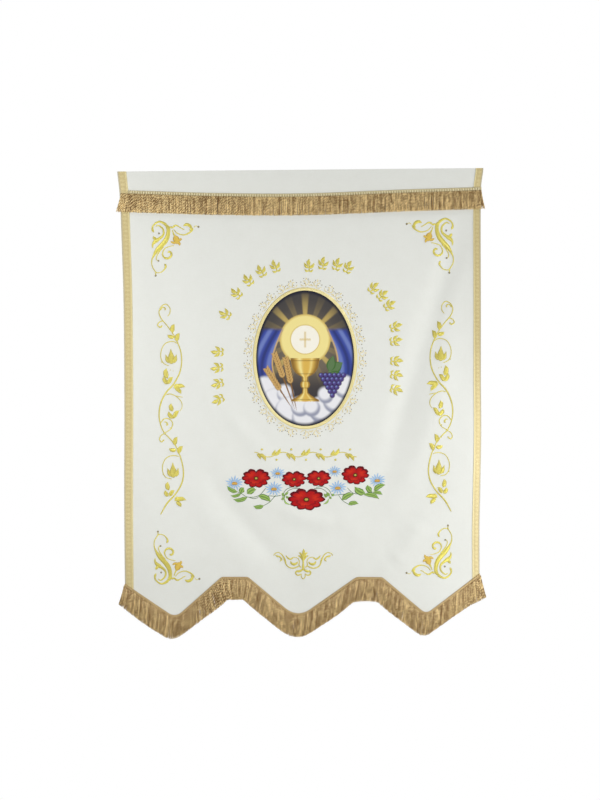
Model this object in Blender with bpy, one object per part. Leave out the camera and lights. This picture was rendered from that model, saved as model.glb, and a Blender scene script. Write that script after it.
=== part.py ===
"""Church banner: an ecru cloth panel with gold side braids, two fringes and an oval medallion.

Run with blender --background --python part.py, or from Blender's text editor.
Units are metres, +Z is up, the face looks along -Y and +X is to the viewer's right.
The origin is the middle of the top edge, halfway through the cloth.
"""
import math
import random

import bmesh
import bpy
from mathutils import Vector
from mathutils.bvhtree import BVHTree

# Cloth panel: edges as the banner hangs, each a line of (z, x) stations from the bottom up
CLOTH_THICKNESS = 0.0015
TOP_EDGE_RISE = 0.0074
LEFT_EDGE = (
    (-0.881, -0.375), (-0.700, -0.3758), (-0.490, -0.3752), (-0.277, -0.3768), (-0.117, -0.3821),
    (-0.053, -0.3852), (0.0, -0.3906),
)
RIGHT_EDGE = (
    (-0.865, 0.3815), (-0.760, 0.3815), (-0.680, 0.3832), (-0.560, 0.3853), (-0.432, 0.3842),
    (-0.330, 0.3838), (-0.043, 0.3838), (0.0, 0.3887),
)

# Lower heading line as (x, z) corners: three hanging points with two flat stretches between them
HEM_CORNERS = (
    (-0.375, -0.8815), (-0.2672, -0.9545), (-0.1685, -0.8665), (-0.112, -0.8665), (-0.007, -0.9555),
    (0.119, -0.8665), (0.1742, -0.867), (0.2668, -0.945), (0.3815, -0.859),
)
HEM_ROUNDINGS = (0.015, 0.004, 0.004, 0.028, 0.006, 0.004, 0.011)
CUT_EDGE_DROP = 0.006

# Upper heading line as (x, z) stations
UPPER_HEADING = ((-0.382, -0.043), (-0.182, -0.049), (0.0, -0.050), (0.216, -0.042), (0.385, -0.0365))

# Mesh of the panel: columns between neighbouring hem corners, and rows as (lowest z, count)
COLUMNS_PER_SPAN = (4, 4, 2, 4, 5, 2, 4, 4)
STRAIGHT_ROWS = ((-0.060, 4), (-0.815, 25))
TAIL_ROWS = 4

# Side braids
LEFT_GALLOON_WIDTH = 0.0185
RIGHT_GALLOON_WIDTH = 0.0155
GALLOON_THICKNESS = 0.0008
SEWN_GAP = 0.0003

# Fringe: a flat heading and the locks that hang from it, each with stages of (share of its
# length, share of its root's width, depth)
HEADING_HEIGHT = 0.0095
HEADING_THICKNESS = 0.002
LOCK_UNEVENNESS = 0.0012
LOCK_SHARE_OF_PITCH = 0.72
UPPER_LOCKS = 136
LOWER_LOCKS = 160
HEADING_SAMPLES = 2000
HEADING_REACH = 0.010
LOCK_REACH = 0.0045
LOCK_STAGES = ((0.45, 1.05, 0.0022), (1.0, 0.75, 0.0016))
EDGE_MARGIN = 0.006
HANG_GAP = 0.0008

# Length of the locks below the heading as (x, length) stations
UPPER_LENGTH = ((-0.385, 0.038), (0.385, 0.038))
LOWER_LENGTH = (
    (-0.375, 0.0355), (-0.362, 0.0395), (-0.350, 0.0435), (-0.330, 0.0449), (-0.270, 0.0415),
    (-0.160, 0.0395), (-0.030, 0.0395), (0.040, 0.0449), (0.090, 0.0475), (0.145, 0.0421),
    (0.190, 0.0445), (0.250, 0.0408), (0.3815, 0.0420),
)

# Sideways lean of the lock tips as (x, lean) stations
UPPER_LEAN = ((-0.382, -0.0105), (-0.355, -0.002), (-0.33, 0.0), (0.35, 0.0), (0.37, 0.003), (0.385, 0.008))
LOWER_LEAN = (
    (-0.375, -0.0115), (-0.345, -0.004), (-0.265, -0.0055), (-0.215, 0.004), (-0.172, 0.011),
    (-0.109, -0.009), (-0.003, -0.0055), (0.126, -0.009), (0.175, -0.0085), (0.275, -0.0053),
    (0.355, 0.0), (0.3815, 0.012),
)

# Medallion: an oval patch with a raised border, as (share of the half size, thickness) rings
MEDALLION_CENTRE = (0.0096, -0.401)
MEDALLION_HALF_WIDTH = 0.111
MEDALLION_HALF_HEIGHT = 0.151
MEDALLION_SIDES = 40
MEDALLION_RINGS = (
    (0.30, 0.0010), (0.62, 0.0010), (0.925, 0.0010), (0.935, 0.0014), (0.955, 0.0026),
    (0.98, 0.0026), (1.0, 0.0010),
)
MEDALLION_BACK_SHARES = (0.30, 0.62, 0.925, 1.0)
MEDALLION_REACH = 0.012

# Folds of the hanging cloth: three (x, z) points of a curve, half width, height towards the viewer
FOLDS = (
    ((0.339, -0.111), (0.266, -0.360), (0.177, -0.649), 0.024, -0.0048),
    ((0.318, -0.383), (0.285, -0.560), (0.200, -0.715), 0.026, 0.0040),
    ((0.265, -0.745), (0.235, -0.800), (0.190, -0.845), 0.024, 0.0048),
    ((-0.146, -0.515), (-0.103, -0.567), (-0.069, -0.594), 0.022, 0.0038),
    ((-0.199, -0.649), (-0.108, -0.775), (-0.033, -0.841), 0.022, -0.0032),
    ((-0.246, -0.671), (-0.140, -0.809), (-0.086, -0.873), 0.028, 0.0016),
    ((-0.050, -0.712), (0.010, -0.752), (0.080, -0.752), 0.020, 0.0030),
    ((0.375, -0.120), (0.330, -0.200), (0.255, -0.310), 0.022, -0.0010),
    ((0.255, -0.310), (0.235, -0.420), (0.185, -0.590), 0.022, -0.0016),
    ((0.365, -0.565), (0.345, -0.700), (0.260, -0.800), 0.026, 0.0012),
    ((0.010, -0.620), (0.080, -0.700), (0.150, -0.830), 0.030, 0.0010),
    ((-0.310, -0.150), (-0.280, -0.300), (-0.250, -0.450), 0.040, 0.0022),
    ((-0.090, -0.620), (0.000, -0.670), (0.090, -0.640), 0.022, 0.0018),
)
FOLD_STEPS = 60
FOLD_FADE = 0.25
FOLD_END_STRENGTH = 0.4

# Calm oval of stiff embroidery round the medallion, where folds die out
CALM_HALF_WIDTH = 0.150
CALM_HALF_HEIGHT = 0.190
CALM_FADE = 0.35

# Top strip leaning forward: how far the cloth stands back, as (z, y) stations
TOP_LEAN = ((-0.110, 0.006), (-0.050, 0.0055), (-0.020, 0.001), (0.0, 0.0))

# Turn of each side edge towards the viewer, as (z, height) stations, and how far in it reaches
LEFT_TURN = ((-0.90, -0.012), (-0.70, -0.004), (-0.45, 0.003), (-0.20, 0.006), (-0.06, 0.0))
RIGHT_TURN = ((-0.90, -0.007), (-0.55, -0.011), (-0.35, 0.002), (-0.15, 0.005), (-0.05, 0.0))
TURN_REACH = 0.110

# Swing of the hanging points towards the viewer, as (x, height) stations
TAIL_SWING = (
    (-0.375, -0.007), (-0.265, -0.014), (-0.140, -0.006), (-0.003, -0.011), (0.150, -0.001),
    (0.275, 0.006), (0.381, 0.002),
)
TAIL_TOP = -0.800


def smooth_line(stations, place):
    """Value at a place on a smooth line through (place, value) stations, level past its ends."""
    places = [station[0] for station in stations]
    values = [station[1] for station in stations]
    last = len(stations) - 1
    if place <= places[0]:
        return values[0]
    if place >= places[last]:
        return values[last]

    def slope(index):
        low = max(index - 1, 0)
        high = min(index + 1, last)
        return (values[high] - values[low]) / (places[high] - places[low])

    start = max(index for index in range(last) if places[index] <= place)
    span = places[start + 1] - places[start]
    share = (place - places[start]) / span
    square = share * share
    cube = square * share
    return (
        (2 * cube - 3 * square + 1) * values[start]
        + (cube - 2 * square + share) * span * slope(start)
        + (3 * square - 2 * cube) * values[start + 1]
        + (cube - square) * span * slope(start + 1)
    )


def ease(share):
    """Smooth step from 0 to 1."""
    share = min(max(share, 0.0), 1.0)
    return share * share * (3.0 - 2.0 * share)


def hem_slope(index):
    """Rise over run of one span of the hem."""
    (x, z), (next_x, next_z) = HEM_CORNERS[index:index + 2]
    return (next_z - z) / (next_x - x)


def hem_line(x):
    """Height of the lower heading line: straight spans with rounded corners."""
    spans = len(HEM_CORNERS) - 1
    index = max((i for i in range(spans) if HEM_CORNERS[i][0] <= x), default=0)
    height = HEM_CORNERS[index][1] + hem_slope(index) * (x - HEM_CORNERS[index][0])
    for corner in range(1, spans):
        turn = hem_slope(corner) - hem_slope(corner - 1)
        rounding = HEM_ROUNDINGS[corner - 1]
        inside = max(0.0, rounding - abs(x - HEM_CORNERS[corner][0]))
        height += turn * inside * inside / (4.0 * rounding)
    return height


def curve_point(start, middle, end, share):
    """Point on a curve that leaves start, is drawn to middle and reaches end."""
    rest = 1.0 - share
    return tuple(
        rest * rest * a + 2.0 * rest * share * b + share * share * c
        for a, b, c in zip(start, middle, end)
    )


def fold_height(x, z):
    """Height of all folds at a point: each is a soft ridge that fades out at both its ends."""
    total = 0.0
    for start, middle, end, half_width, height in FOLDS:
        best = min(
            (math.hypot(x - point[0], z - point[1]), step / FOLD_STEPS)
            for step in range(FOLD_STEPS + 1)
            for point in (curve_point(start, middle, end, step / FOLD_STEPS),)
        )
        distance, share = best
        inner = ease(min(share, 1.0 - share) / FOLD_FADE)
        strength = FOLD_END_STRENGTH + (1.0 - FOLD_END_STRENGTH) * inner
        total += height * strength * math.exp(-(distance / half_width) ** 2)
    return total


def calm_share(x, z):
    """0 inside the stiff oval round the medallion, 1 well outside it."""
    across = (x - MEDALLION_CENTRE[0]) / CALM_HALF_WIDTH
    up = (z - MEDALLION_CENTRE[1]) / CALM_HALF_HEIGHT
    return ease((math.hypot(across, up) - 1.0) / CALM_FADE)


def cloth_y(x, z):
    """Where the middle of the cloth hangs, from its folds, turned edges and swung points."""
    from_left = x - smooth_line(LEFT_EDGE, z)
    from_right = smooth_line(RIGHT_EDGE, z) - x
    left_share = max(0.0, 1.0 - from_left / TURN_REACH) ** 2
    right_share = max(0.0, 1.0 - from_right / TURN_REACH) ** 2
    tail_share = ease((TAIL_TOP - z) / (TAIL_TOP - min(z_corner for _, z_corner in HEM_CORNERS)))
    forward = (
        fold_height(x, z) * calm_share(x, z)
        + left_share * smooth_line(LEFT_TURN, z)
        + right_share * smooth_line(RIGHT_TURN, z)
        + tail_share * smooth_line(TAIL_SWING, x)
    )
    return smooth_line(TOP_LEAN, z) - forward


def cloth_grid():
    """Rows of (x, z) points from the top edge down to the cut edge, in columns across the panel."""
    left_x, right_x = HEM_CORNERS[0][0], HEM_CORNERS[-1][0]
    width = right_x - left_x
    columns = [0.0, LEFT_GALLOON_WIDTH / width]
    for (x, _), (next_x, _), count in zip(HEM_CORNERS, HEM_CORNERS[1:], COLUMNS_PER_SPAN):
        for step in range(1, count + 1):
            columns.append((x + (next_x - x) * step / count - left_x) / width)
    columns.insert(len(columns) - 1, 1.0 - RIGHT_GALLOON_WIDTH / width)
    floor = STRAIGHT_ROWS[-1][0]
    levels = [0.0]
    for lowest, count in STRAIGHT_ROWS:
        start = levels[-1]
        levels += [start + (lowest - start) * step / count for step in range(1, count + 1)]
    rows = []
    for level in levels:
        upper_share = 1.0 - level / floor
        row = []
        for share in columns:
            z = level + (share - 0.5) * TOP_EDGE_RISE * upper_share
            left, right = smooth_line(LEFT_EDGE, z), smooth_line(RIGHT_EDGE, z)
            row.append((left + (right - left) * share, z))
        rows.append(row)
    for step in range(1, TAIL_ROWS + 1):
        row = []
        for share in columns:
            x = left_x + width * share
            cut_edge = hem_line(x) - CUT_EDGE_DROP
            z = floor + (cut_edge - floor) * step / TAIL_ROWS
            left, right = smooth_line(LEFT_EDGE, z), smooth_line(RIGHT_EDGE, z)
            row.append((left + (right - left) * share, z))
        rows.append(row)
    return rows


def shifted(points, shift):
    """Grid of 3-D points on the hanging cloth, moved along Y."""
    return [[Vector((x, cloth_y(x, z) + shift, z)) for x, z in row] for row in points]


def slab(front, back):
    """Closed mesh between two grids of points, cut into the same triangles on both faces."""
    mesh = bmesh.new()
    faces = []
    for grid in (front, back):
        faces.append([[mesh.verts.new(point) for point in row] for row in grid])
    rows, columns = len(front), len(front[0])
    for verts in faces:
        for row in range(rows - 1):
            for column in range(columns - 1):
                upper_left, upper_right = verts[row][column:column + 2]
                lower_left, lower_right = verts[row + 1][column:column + 2]
                mesh.faces.new((upper_left, lower_left, lower_right))
                mesh.faces.new((upper_left, lower_right, upper_right))
    border = [(0, column) for column in range(columns)]
    border += [(row, columns - 1) for row in range(1, rows)]
    border += [(rows - 1, column) for column in range(columns - 2, -1, -1)]
    border += [(row, 0) for row in range(rows - 2, 0, -1)]
    for (row, column), (next_row, next_column) in zip(border, border[1:] + border[:1]):
        mesh.faces.new((
            faces[0][row][column], faces[0][next_row][next_column],
            faces[1][next_row][next_column], faces[1][row][column],
        ))
    bmesh.ops.recalc_face_normals(mesh, faces=mesh.faces)
    return mesh


def linear(level):
    """Linear light from an sRGB level of 0 to 255."""
    share = level / 255.0
    return share / 12.92 if share <= 0.04045 else ((share + 0.055) / 1.055) ** 2.4


def material(name, colour, roughness, metallic=0.0):
    """Principled material from an sRGB colour of 0 to 255."""
    finish = bpy.data.materials.new(name)
    finish.use_nodes = True
    shader = finish.node_tree.nodes["Principled BSDF"]
    shader.inputs["Base Color"].default_value = (*map(linear, colour), 1.0)
    shader.inputs["Roughness"].default_value = roughness
    shader.inputs["Metallic"].default_value = metallic
    return finish


def place(name, mesh, finish):
    """Object made from a bmesh, linked to the scene."""
    data = bpy.data.meshes.new(name)
    mesh.to_mesh(data)
    mesh.free()
    data.materials.append(finish)
    thing = bpy.data.objects.new(name, data)
    bpy.context.scene.collection.objects.link(thing)
    return thing


def clear_y(tree, x, z, reach):
    """Foremost surface near a point of the face, seen by rays from the front."""
    found = []
    for across, up in ((0, 0), (-reach, 0), (reach, 0), (0, -reach), (0, reach)):
        ray_x = max(x + across, smooth_line(LEFT_EDGE, z) + EDGE_MARGIN)
        ray_x = min(ray_x, smooth_line(RIGHT_EDGE, z) - EDGE_MARGIN)
        ray_z = max(z + up, hem_line(ray_x) - CUT_EDGE_DROP + EDGE_MARGIN)
        hit = tree.ray_cast(Vector((ray_x, -1.0, ray_z)), Vector((0, 1, 0)))[0]
        if hit is not None:
            found.append(hit.y)
    return min(found)


def surface_tree(*things):
    """Ray casting tree over the joined faces of some objects."""
    joined = bmesh.new()
    for thing in things:
        joined.from_mesh(thing.data)
    tree = BVHTree.FromBMesh(joined)
    joined.free()
    return tree


def heading_stations(line, start, end, count):
    """Evenly spaced (x, z, lower x, lower z) stations along a heading whose top edge is a line."""
    samples = [start + (end - start) * step / HEADING_SAMPLES for step in range(HEADING_SAMPLES + 1)]
    lengths = [0.0]
    for x, next_x in zip(samples, samples[1:]):
        lengths.append(lengths[-1] + math.hypot(next_x - x, line(next_x) - line(x)))
    stations = []
    sample = 0
    for share in lock_shares(count):
        while sample < len(lengths) - 2 and lengths[sample + 1] < share * lengths[-1]:
            sample += 1
        x = samples[sample]
        step = samples[1] - samples[0]
        slope = (line(x + step) - line(x - step)) / (2.0 * step)
        down = Vector((slope, -1.0)).normalized() * HEADING_HEIGHT
        stations.append((x, line(x), x + down.x, line(x) + down.y))
    return stations


def lock_shares(count):
    """Shares of a heading's length where its locks and the gaps between them start and end."""
    shares = [0.0]
    for lock in range(count):
        middle = (lock + 0.5) / count
        shares += [middle - LOCK_SHARE_OF_PITCH / 2 / count, middle + LOCK_SHARE_OF_PITCH / 2 / count]
    return shares + [1.0]


def fringe_mesh(tree, line, start, end, count, length, lean, seed):
    """Heading strip with locks fused to its lower face: one closed mesh."""
    chance = random.Random(seed)
    mesh = bmesh.new()
    rings = []
    for x, z, lower_x, lower_z in heading_stations(line, start, end, count):
        upper_y = clear_y(tree, x, z, HEADING_REACH) - SEWN_GAP
        lower_y = clear_y(tree, lower_x, lower_z, HEADING_REACH) - SEWN_GAP
        rings.append([
            mesh.verts.new((x, upper_y, z)),
            mesh.verts.new((x, upper_y - HEADING_THICKNESS, z)),
            mesh.verts.new((lower_x, lower_y - HEADING_THICKNESS, lower_z)),
            mesh.verts.new((lower_x, lower_y, lower_z)),
        ])
    mesh.faces.new(rings[0])
    mesh.faces.new(rings[-1])
    for index, (ring, next_ring) in enumerate(zip(rings, rings[1:])):
        for side, after in ((0, 1), (1, 2), (3, 0)):
            mesh.faces.new((ring[side], next_ring[side], next_ring[after], ring[after]))
        root = (ring[2], next_ring[2], next_ring[3], ring[3])
        if index % 2:
            x = ring[2].co.x
            unevenness = chance.uniform(-LOCK_UNEVENNESS, LOCK_UNEVENNESS)
            add_lock(mesh, tree, root, smooth_line(length, x) + unevenness, smooth_line(lean, x))
        else:
            mesh.faces.new(root)
    bmesh.ops.recalc_face_normals(mesh, faces=mesh.faces)
    return mesh


def add_lock(mesh, tree, root, length, lean):
    """Hang one lock of strands from a root face, in front of the cloth behind it."""
    centre = sum((vert.co for vert in root), Vector()) / 4.0
    half_width = (root[1].co.x - root[0].co.x) / 2.0
    previous = root
    for share, width_share, depth in LOCK_STAGES:
        x = centre.x + lean * share
        z = centre.z - length * share
        back_y = min(centre.y + depth / 2, clear_y(tree, x, z, LOCK_REACH) - HANG_GAP)
        reach = half_width * width_share
        ring = [
            mesh.verts.new((x - reach, back_y - depth, z)), mesh.verts.new((x + reach, back_y - depth, z)),
            mesh.verts.new((x + reach, back_y, z)), mesh.verts.new((x - reach, back_y, z)),
        ]
        for side in range(4):
            after = (side + 1) % 4
            mesh.faces.new((previous[side], previous[after], ring[after], ring[side]))
        previous = ring
    mesh.faces.new(previous)


def medallion_ring(tree, share, thickness):
    """Points of one oval ring that stands in front of the cloth by its thickness."""
    points = []
    for side in range(MEDALLION_SIDES):
        angle = 2.0 * math.pi * side / MEDALLION_SIDES
        x = MEDALLION_CENTRE[0] + MEDALLION_HALF_WIDTH * share * math.cos(angle)
        z = MEDALLION_CENTRE[1] + MEDALLION_HALF_HEIGHT * share * math.sin(angle)
        points.append(Vector((x, clear_y(tree, x, z, MEDALLION_REACH) - SEWN_GAP - thickness, z)))
    return points


def medallion_face(mesh, tree, rings, centre_thickness):
    """Oval face of nested rings round a centre point, and its outermost ring of vertices."""
    x, z = MEDALLION_CENTRE
    y = clear_y(tree, x, z, MEDALLION_REACH) - SEWN_GAP - centre_thickness
    centre = mesh.verts.new((x, y, z))
    inner = None
    for share, thickness in rings:
        ring = [mesh.verts.new(point) for point in medallion_ring(tree, share, thickness)]
        for side in range(MEDALLION_SIDES):
            after = (side + 1) % MEDALLION_SIDES
            if inner is None:
                mesh.faces.new((centre, ring[side], ring[after]))
            else:
                mesh.faces.new((inner[side], ring[side], ring[after]))
                mesh.faces.new((inner[side], ring[after], inner[after]))
        inner = ring
    return inner


def medallion_mesh(tree):
    """Oval patch with a raised border, lying on the cloth."""
    mesh = bmesh.new()
    front = medallion_face(mesh, tree, MEDALLION_RINGS, MEDALLION_RINGS[0][1])
    back = medallion_face(mesh, tree, [(share, 0.0) for share in MEDALLION_BACK_SHARES], 0.0)
    for side in range(MEDALLION_SIDES):
        after = (side + 1) % MEDALLION_SIDES
        mesh.faces.new((front[side], front[after], back[after], back[side]))
    bmesh.ops.recalc_face_normals(mesh, faces=mesh.faces)
    return mesh


def build_banner():
    """Build every sub-part of the banner."""
    gold_braid = material("woven gold braid", (216, 202, 146), 0.45, 0.35)
    gold_fringe = material("bronze gold fringe", (174, 146, 100), 0.5, 0.3)
    points = cloth_grid()
    half = CLOTH_THICKNESS / 2
    cloth_mesh = slab(shifted(points, -half), shifted(points, half))
    cloth = place("banner_cloth", cloth_mesh, material("ecru cloth", (232, 232, 225), 0.75))

    galloons = []
    for name, start in (("galloon_left", 0), ("galloon_right", len(points[0]) - 2)):
        strip = [row[start:start + 2] for row in points]
        back_shift = -half - SEWN_GAP
        mesh = slab(shifted(strip, back_shift - GALLOON_THICKNESS), shifted(strip, back_shift))
        galloons.append(place(name, mesh, gold_braid))

    face = surface_tree(cloth, *galloons)
    for name, line, ends, count, length, lean, seed in (
        ("fringe_top", lambda x: smooth_line(UPPER_HEADING, x),
         (UPPER_HEADING[0][0], UPPER_HEADING[-1][0]), UPPER_LOCKS, UPPER_LENGTH, UPPER_LEAN, 3),
        ("fringe_bottom", hem_line,
         (HEM_CORNERS[0][0], HEM_CORNERS[-1][0]), LOWER_LOCKS, LOWER_LENGTH, LOWER_LEAN, 5),
    ):
        place(name, fringe_mesh(face, line, *ends, count, length, lean, seed), gold_fringe)

    satin = material("printed satin", (70, 74, 92), 0.4)
    place("medallion", medallion_mesh(face), satin)


def clear_scene():
    """Remove what the scene holds."""
    for thing in list(bpy.data.objects):
        bpy.data.objects.remove(thing, do_unlink=True)


if __name__ == "__main__":
    clear_scene()
    build_banner()
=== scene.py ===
"""Looks of the church banner: cloth, braids, fringes, medallion and raised embroidery.

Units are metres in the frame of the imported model: +Z is up, the face looks along -Y and +X is to the
viewer's right. Ornament tables are in millimetres.
"""
import logging
import math
from dataclasses import dataclass, field
from enum import Enum
from typing import Callable

import bpy
import numpy as np
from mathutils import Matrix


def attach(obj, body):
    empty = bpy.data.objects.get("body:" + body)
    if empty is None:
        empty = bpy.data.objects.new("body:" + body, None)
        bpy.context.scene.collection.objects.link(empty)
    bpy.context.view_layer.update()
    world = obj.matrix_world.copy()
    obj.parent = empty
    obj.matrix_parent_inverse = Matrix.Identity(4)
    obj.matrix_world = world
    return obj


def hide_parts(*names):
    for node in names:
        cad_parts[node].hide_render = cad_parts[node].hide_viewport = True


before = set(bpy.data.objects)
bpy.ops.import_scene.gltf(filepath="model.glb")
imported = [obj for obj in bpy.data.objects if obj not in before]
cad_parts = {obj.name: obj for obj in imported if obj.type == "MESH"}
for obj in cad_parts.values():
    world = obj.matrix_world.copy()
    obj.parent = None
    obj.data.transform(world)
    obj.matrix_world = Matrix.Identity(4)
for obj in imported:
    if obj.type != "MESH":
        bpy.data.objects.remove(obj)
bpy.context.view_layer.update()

LOG = logging.getLogger("church_banner")
MM = 0.001

Pair = tuple[float, float]
Stations = tuple[Pair, ...]
Array = np.ndarray


class Hue(Enum):
    """Thread, cloth and print colours as sRGB levels of 0 to 255."""

    CLOTH = (235, 237, 232)
    CLOTH_SLUB = (227, 228, 221)
    GOLD = (246, 234, 112)
    GOLD_DEEP = (170, 156, 78)
    OLD_GOLD = (242, 208, 98)
    OLD_GOLD_DEEP = (206, 170, 76)
    PALE_GOLD = (246, 234, 184)
    PALE_GOLD_DEEP = (206, 186, 118)
    RIM = (250, 238, 178)
    RIM_DEEP = (210, 190, 112)
    BERRY = (168, 156, 116)
    BERRY_DEEP = (112, 100, 66)
    BRAID = (240, 227, 172)
    BRAID_DEEP = (188, 165, 111)
    # Painted shade on the braids' outer sides
    BRAID_PAINTED_SHADE = (196, 188, 162)
    FRINGE = (255, 228, 166)
    FRINGE_DEEP = (126, 91, 46)
    HEADING = (248, 238, 200)
    HEADING_DEEP = (160, 144, 96)
    POPPY = (196, 12, 18)
    POPPY_LIGHT = (240, 58, 26)
    POPPY_DEEP = (104, 8, 22)
    POLLEN = (206, 190, 84)
    POLLEN_DEEP = (92, 62, 24)
    PETAL = (192, 228, 252)
    PETAL_EDGE = (22, 128, 226)
    DAISY_HEART = (234, 186, 92)
    DAISY_HEART_DEEP = (176, 116, 44)
    LEAF = (188, 224, 118)
    LEAF_DEEP = (64, 106, 48)
    STEM = (96, 128, 84)
    CHARCOAL = (62, 60, 62)
    SMOKE = (112, 102, 88)
    NIGHT = (24, 26, 44)
    ROYAL_BLUE = (58, 74, 158)
    SKY_BLUE = (128, 146, 206)
    RADIANCE = (244, 228, 150)
    GLOW = (214, 186, 104)
    CHALICE = (222, 182, 84)
    CHALICE_DEEP = (120, 84, 34)
    HOST = (250, 246, 232)
    CLOUD = (236, 236, 240)
    CLOUD_SHADE = (150, 154, 174)
    WHEAT = (206, 168, 104)
    WHEAT_DEEP = (134, 96, 50)
    GRAPE = (78, 62, 128)
    VINE_LEAF = (92, 122, 78)
    FLOOR = (240, 239, 235)

    @property
    def linear(self) -> Array:
        """Linear light of the colour."""
        share = np.array(self.value) / 255.0
        return np.where(share <= 0.04045, share / 12.92, ((share + 0.055) / 1.055) ** 2.4)

    @property
    def rgba(self) -> tuple[float, float, float, float]:
        """Linear colour with an alpha of one, for a socket."""
        red, green, blue = self.linear
        return float(red), float(green), float(blue), 1.0


class Value:
    """A shader value: its arithmetic adds Math nodes to its material."""

    def __init__(self, paint: "Paint", socket: bpy.types.NodeSocket) -> None:
        """Wrap an output socket.

        Args:
            paint: The material that the socket belongs to.
            socket: The output socket.
        """
        self.paint = paint
        self.socket = socket

    def math(self, operation: str, *others: "Value | float", swap: bool = False) -> "Value":
        """Add one Math node.

        Args:
            operation: The Math node's operation.
            others: The further operands.
            swap: Whether this value is the second operand.

        Returns:
            The node's result.
        """
        operands = (*others, self) if swap else (self, *others)
        node = self.paint.node("ShaderNodeMath", {"operation": operation}, dict(enumerate(operands)))
        return Value(self.paint, node.outputs[0])

    def __add__(self, other: "Value | float") -> "Value":
        """Sum."""
        return self.math("ADD", other)

    def __sub__(self, other: "Value | float") -> "Value":
        """Difference."""
        return self.math("SUBTRACT", other)

    def __rsub__(self, other: float) -> "Value":
        """Difference from a number."""
        return self.math("SUBTRACT", other, swap=True)

    def __mul__(self, other: "Value | float") -> "Value":
        """Product."""
        return self.math("MULTIPLY", other)

    __radd__ = __add__
    __rmul__ = __mul__

    def wave(self) -> "Value":
        """Sine, brought to 0 to 1."""
        return self.math("SINE") * 0.5 + 0.5

    def clipped(self) -> "Value":
        """The value held between 0 and 1."""
        return self.math("MINIMUM", 1.0).math("MAXIMUM", 0.0)


class Paint:
    """One material under construction round a Principled shader."""

    def __init__(self, name: str) -> None:
        """Start a material.

        Args:
            name: The material's name.
        """
        self.material = bpy.data.materials.new(name)
        self.material.use_nodes = True
        self.tree = self.material.node_tree
        self.shader = self.tree.nodes["Principled BSDF"]

    def node(self, kind: str, settings: dict | None = None, inputs: dict | None = None) -> bpy.types.Node:
        """Add a node, with its settings made before its inputs.

        Args:
            kind: The node's type.
            settings: Values of its own properties.
            inputs: Values or links of its input sockets, by name or number.

        Returns:
            The node.
        """
        node = self.tree.nodes.new(kind)
        for name, value in (settings or {}).items():
            setattr(node, name, value)
        for name, value in (inputs or {}).items():
            self.feed(node.inputs[name], value)
        return node

    def feed(self, socket: bpy.types.NodeSocket, value: object) -> None:
        """Set an input socket, or link it.

        Args:
            socket: The input socket.
            value: A number, colour or vector, or a Value or output socket to link.
        """
        if isinstance(value, Value):
            value = value.socket
        if isinstance(value, bpy.types.NodeSocket):
            self.tree.links.new(value, socket)
        else:
            socket.default_value = value

    def surface(self, **inputs: object) -> None:
        """Set or link inputs of the Principled shader, with underscores for the spaces in their names."""
        for name, value in inputs.items():
            self.feed(self.shader.inputs[name.replace("_", " ")], value)

    def parts(self, name: str) -> list[Value]:
        """Read a vector attribute of the mesh.

        Args:
            name: The attribute's name.

        Returns:
            Its three components.
        """
        attribute = self.node("ShaderNodeAttribute", {"attribute_name": name})
        split = self.node("ShaderNodeSeparateXYZ", None, {"Vector": attribute.outputs["Vector"]})
        return [Value(self, output) for output in split.outputs]

    def colour(self, name: str) -> bpy.types.NodeSocket:
        """Colour attribute of the mesh."""
        return self.node("ShaderNodeAttribute", {"attribute_name": name}).outputs["Color"]

    def place(self) -> list[Value]:
        """The surface point's own coordinates in metres."""
        where = self.node("ShaderNodeTexCoord").outputs["Object"]
        split = self.node("ShaderNodeSeparateXYZ", None, {"Vector": where})
        return [Value(self, output) for output in split.outputs]

    def noise(self, stretch: tuple[float, float, float], detail: float) -> Value:
        """Noise of 0 to 1 over the surface.

        Args:
            stretch: Lumps for each metre along X, Y and Z.
            detail: Octaves of finer lumps.

        Returns:
            The noise.
        """
        where = self.node("ShaderNodeTexCoord").outputs["Object"]
        mapping = self.node("ShaderNodeMapping", None, {"Vector": where, "Scale": stretch})
        node = self.node(
            "ShaderNodeTexNoise", None,
            {"Vector": mapping.outputs[0], "Scale": 1.0, "Detail": detail, "Roughness": 0.6},
        )
        return Value(self, node.outputs[0])

    def blend(self, share: Value | float, first: object, second: object) -> bpy.types.NodeSocket:
        """Mix two colours.

        Args:
            share: 0 for the first, 1 for the second.
            first: A colour or a colour socket.
            second: A colour or a colour socket.

        Returns:
            The mixed colour.
        """
        node = self.node("ShaderNodeMix", {"data_type": "RGBA"}, {0: share, 6: first, 7: second})
        return node.outputs[2]

    def bump(self, height: Value, strength: float, distance: float) -> bpy.types.NodeSocket:
        """Normal of a surface with fine relief.

        Args:
            height: Relief of 0 to 1.
            strength: How much of it shows.
            distance: Depth of the relief in metres.

        Returns:
            The normal.
        """
        inputs = {"Height": height, "Strength": strength, "Distance": distance}
        node = self.node("ShaderNodeBump", None, inputs)
        return node.outputs[0]


@dataclass(frozen=True)
class ClothFinish:
    """Matt ecru cloth in a fine plain weave with soft slubs."""

    name: str = "ecru woven cloth"
    pitch: float = 0.9 * MM
    roughness: float = 0.82

    def material(self) -> bpy.types.Material:
        """Make the cloth's material."""
        paint = Paint(self.name)
        x, _, z = paint.place()
        turn = math.tau / self.pitch
        weave = (x * turn).wave() * (z * turn).wave()
        slubs = paint.noise((900.0, 900.0, 90.0), 2.0) + paint.noise((90.0, 900.0, 900.0), 2.0)
        lumps = paint.noise((35.0, 35.0, 35.0), 3.0)
        share = (slubs * 0.5 + lumps * 0.5 - 0.25).clipped()
        paint.surface(
            Base_Color=paint.blend(share, Hue.CLOTH_SLUB.rgba, Hue.CLOTH.rgba),
            Roughness=self.roughness,
            Specular_IOR_Level=0.25,
            Sheen_Weight=0.15,
            Sheen_Roughness=0.4,
            Normal=paint.bump(weave * 0.5 + slubs * 0.5, 0.35, 0.12 * MM),
        )
        return paint.material


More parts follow.
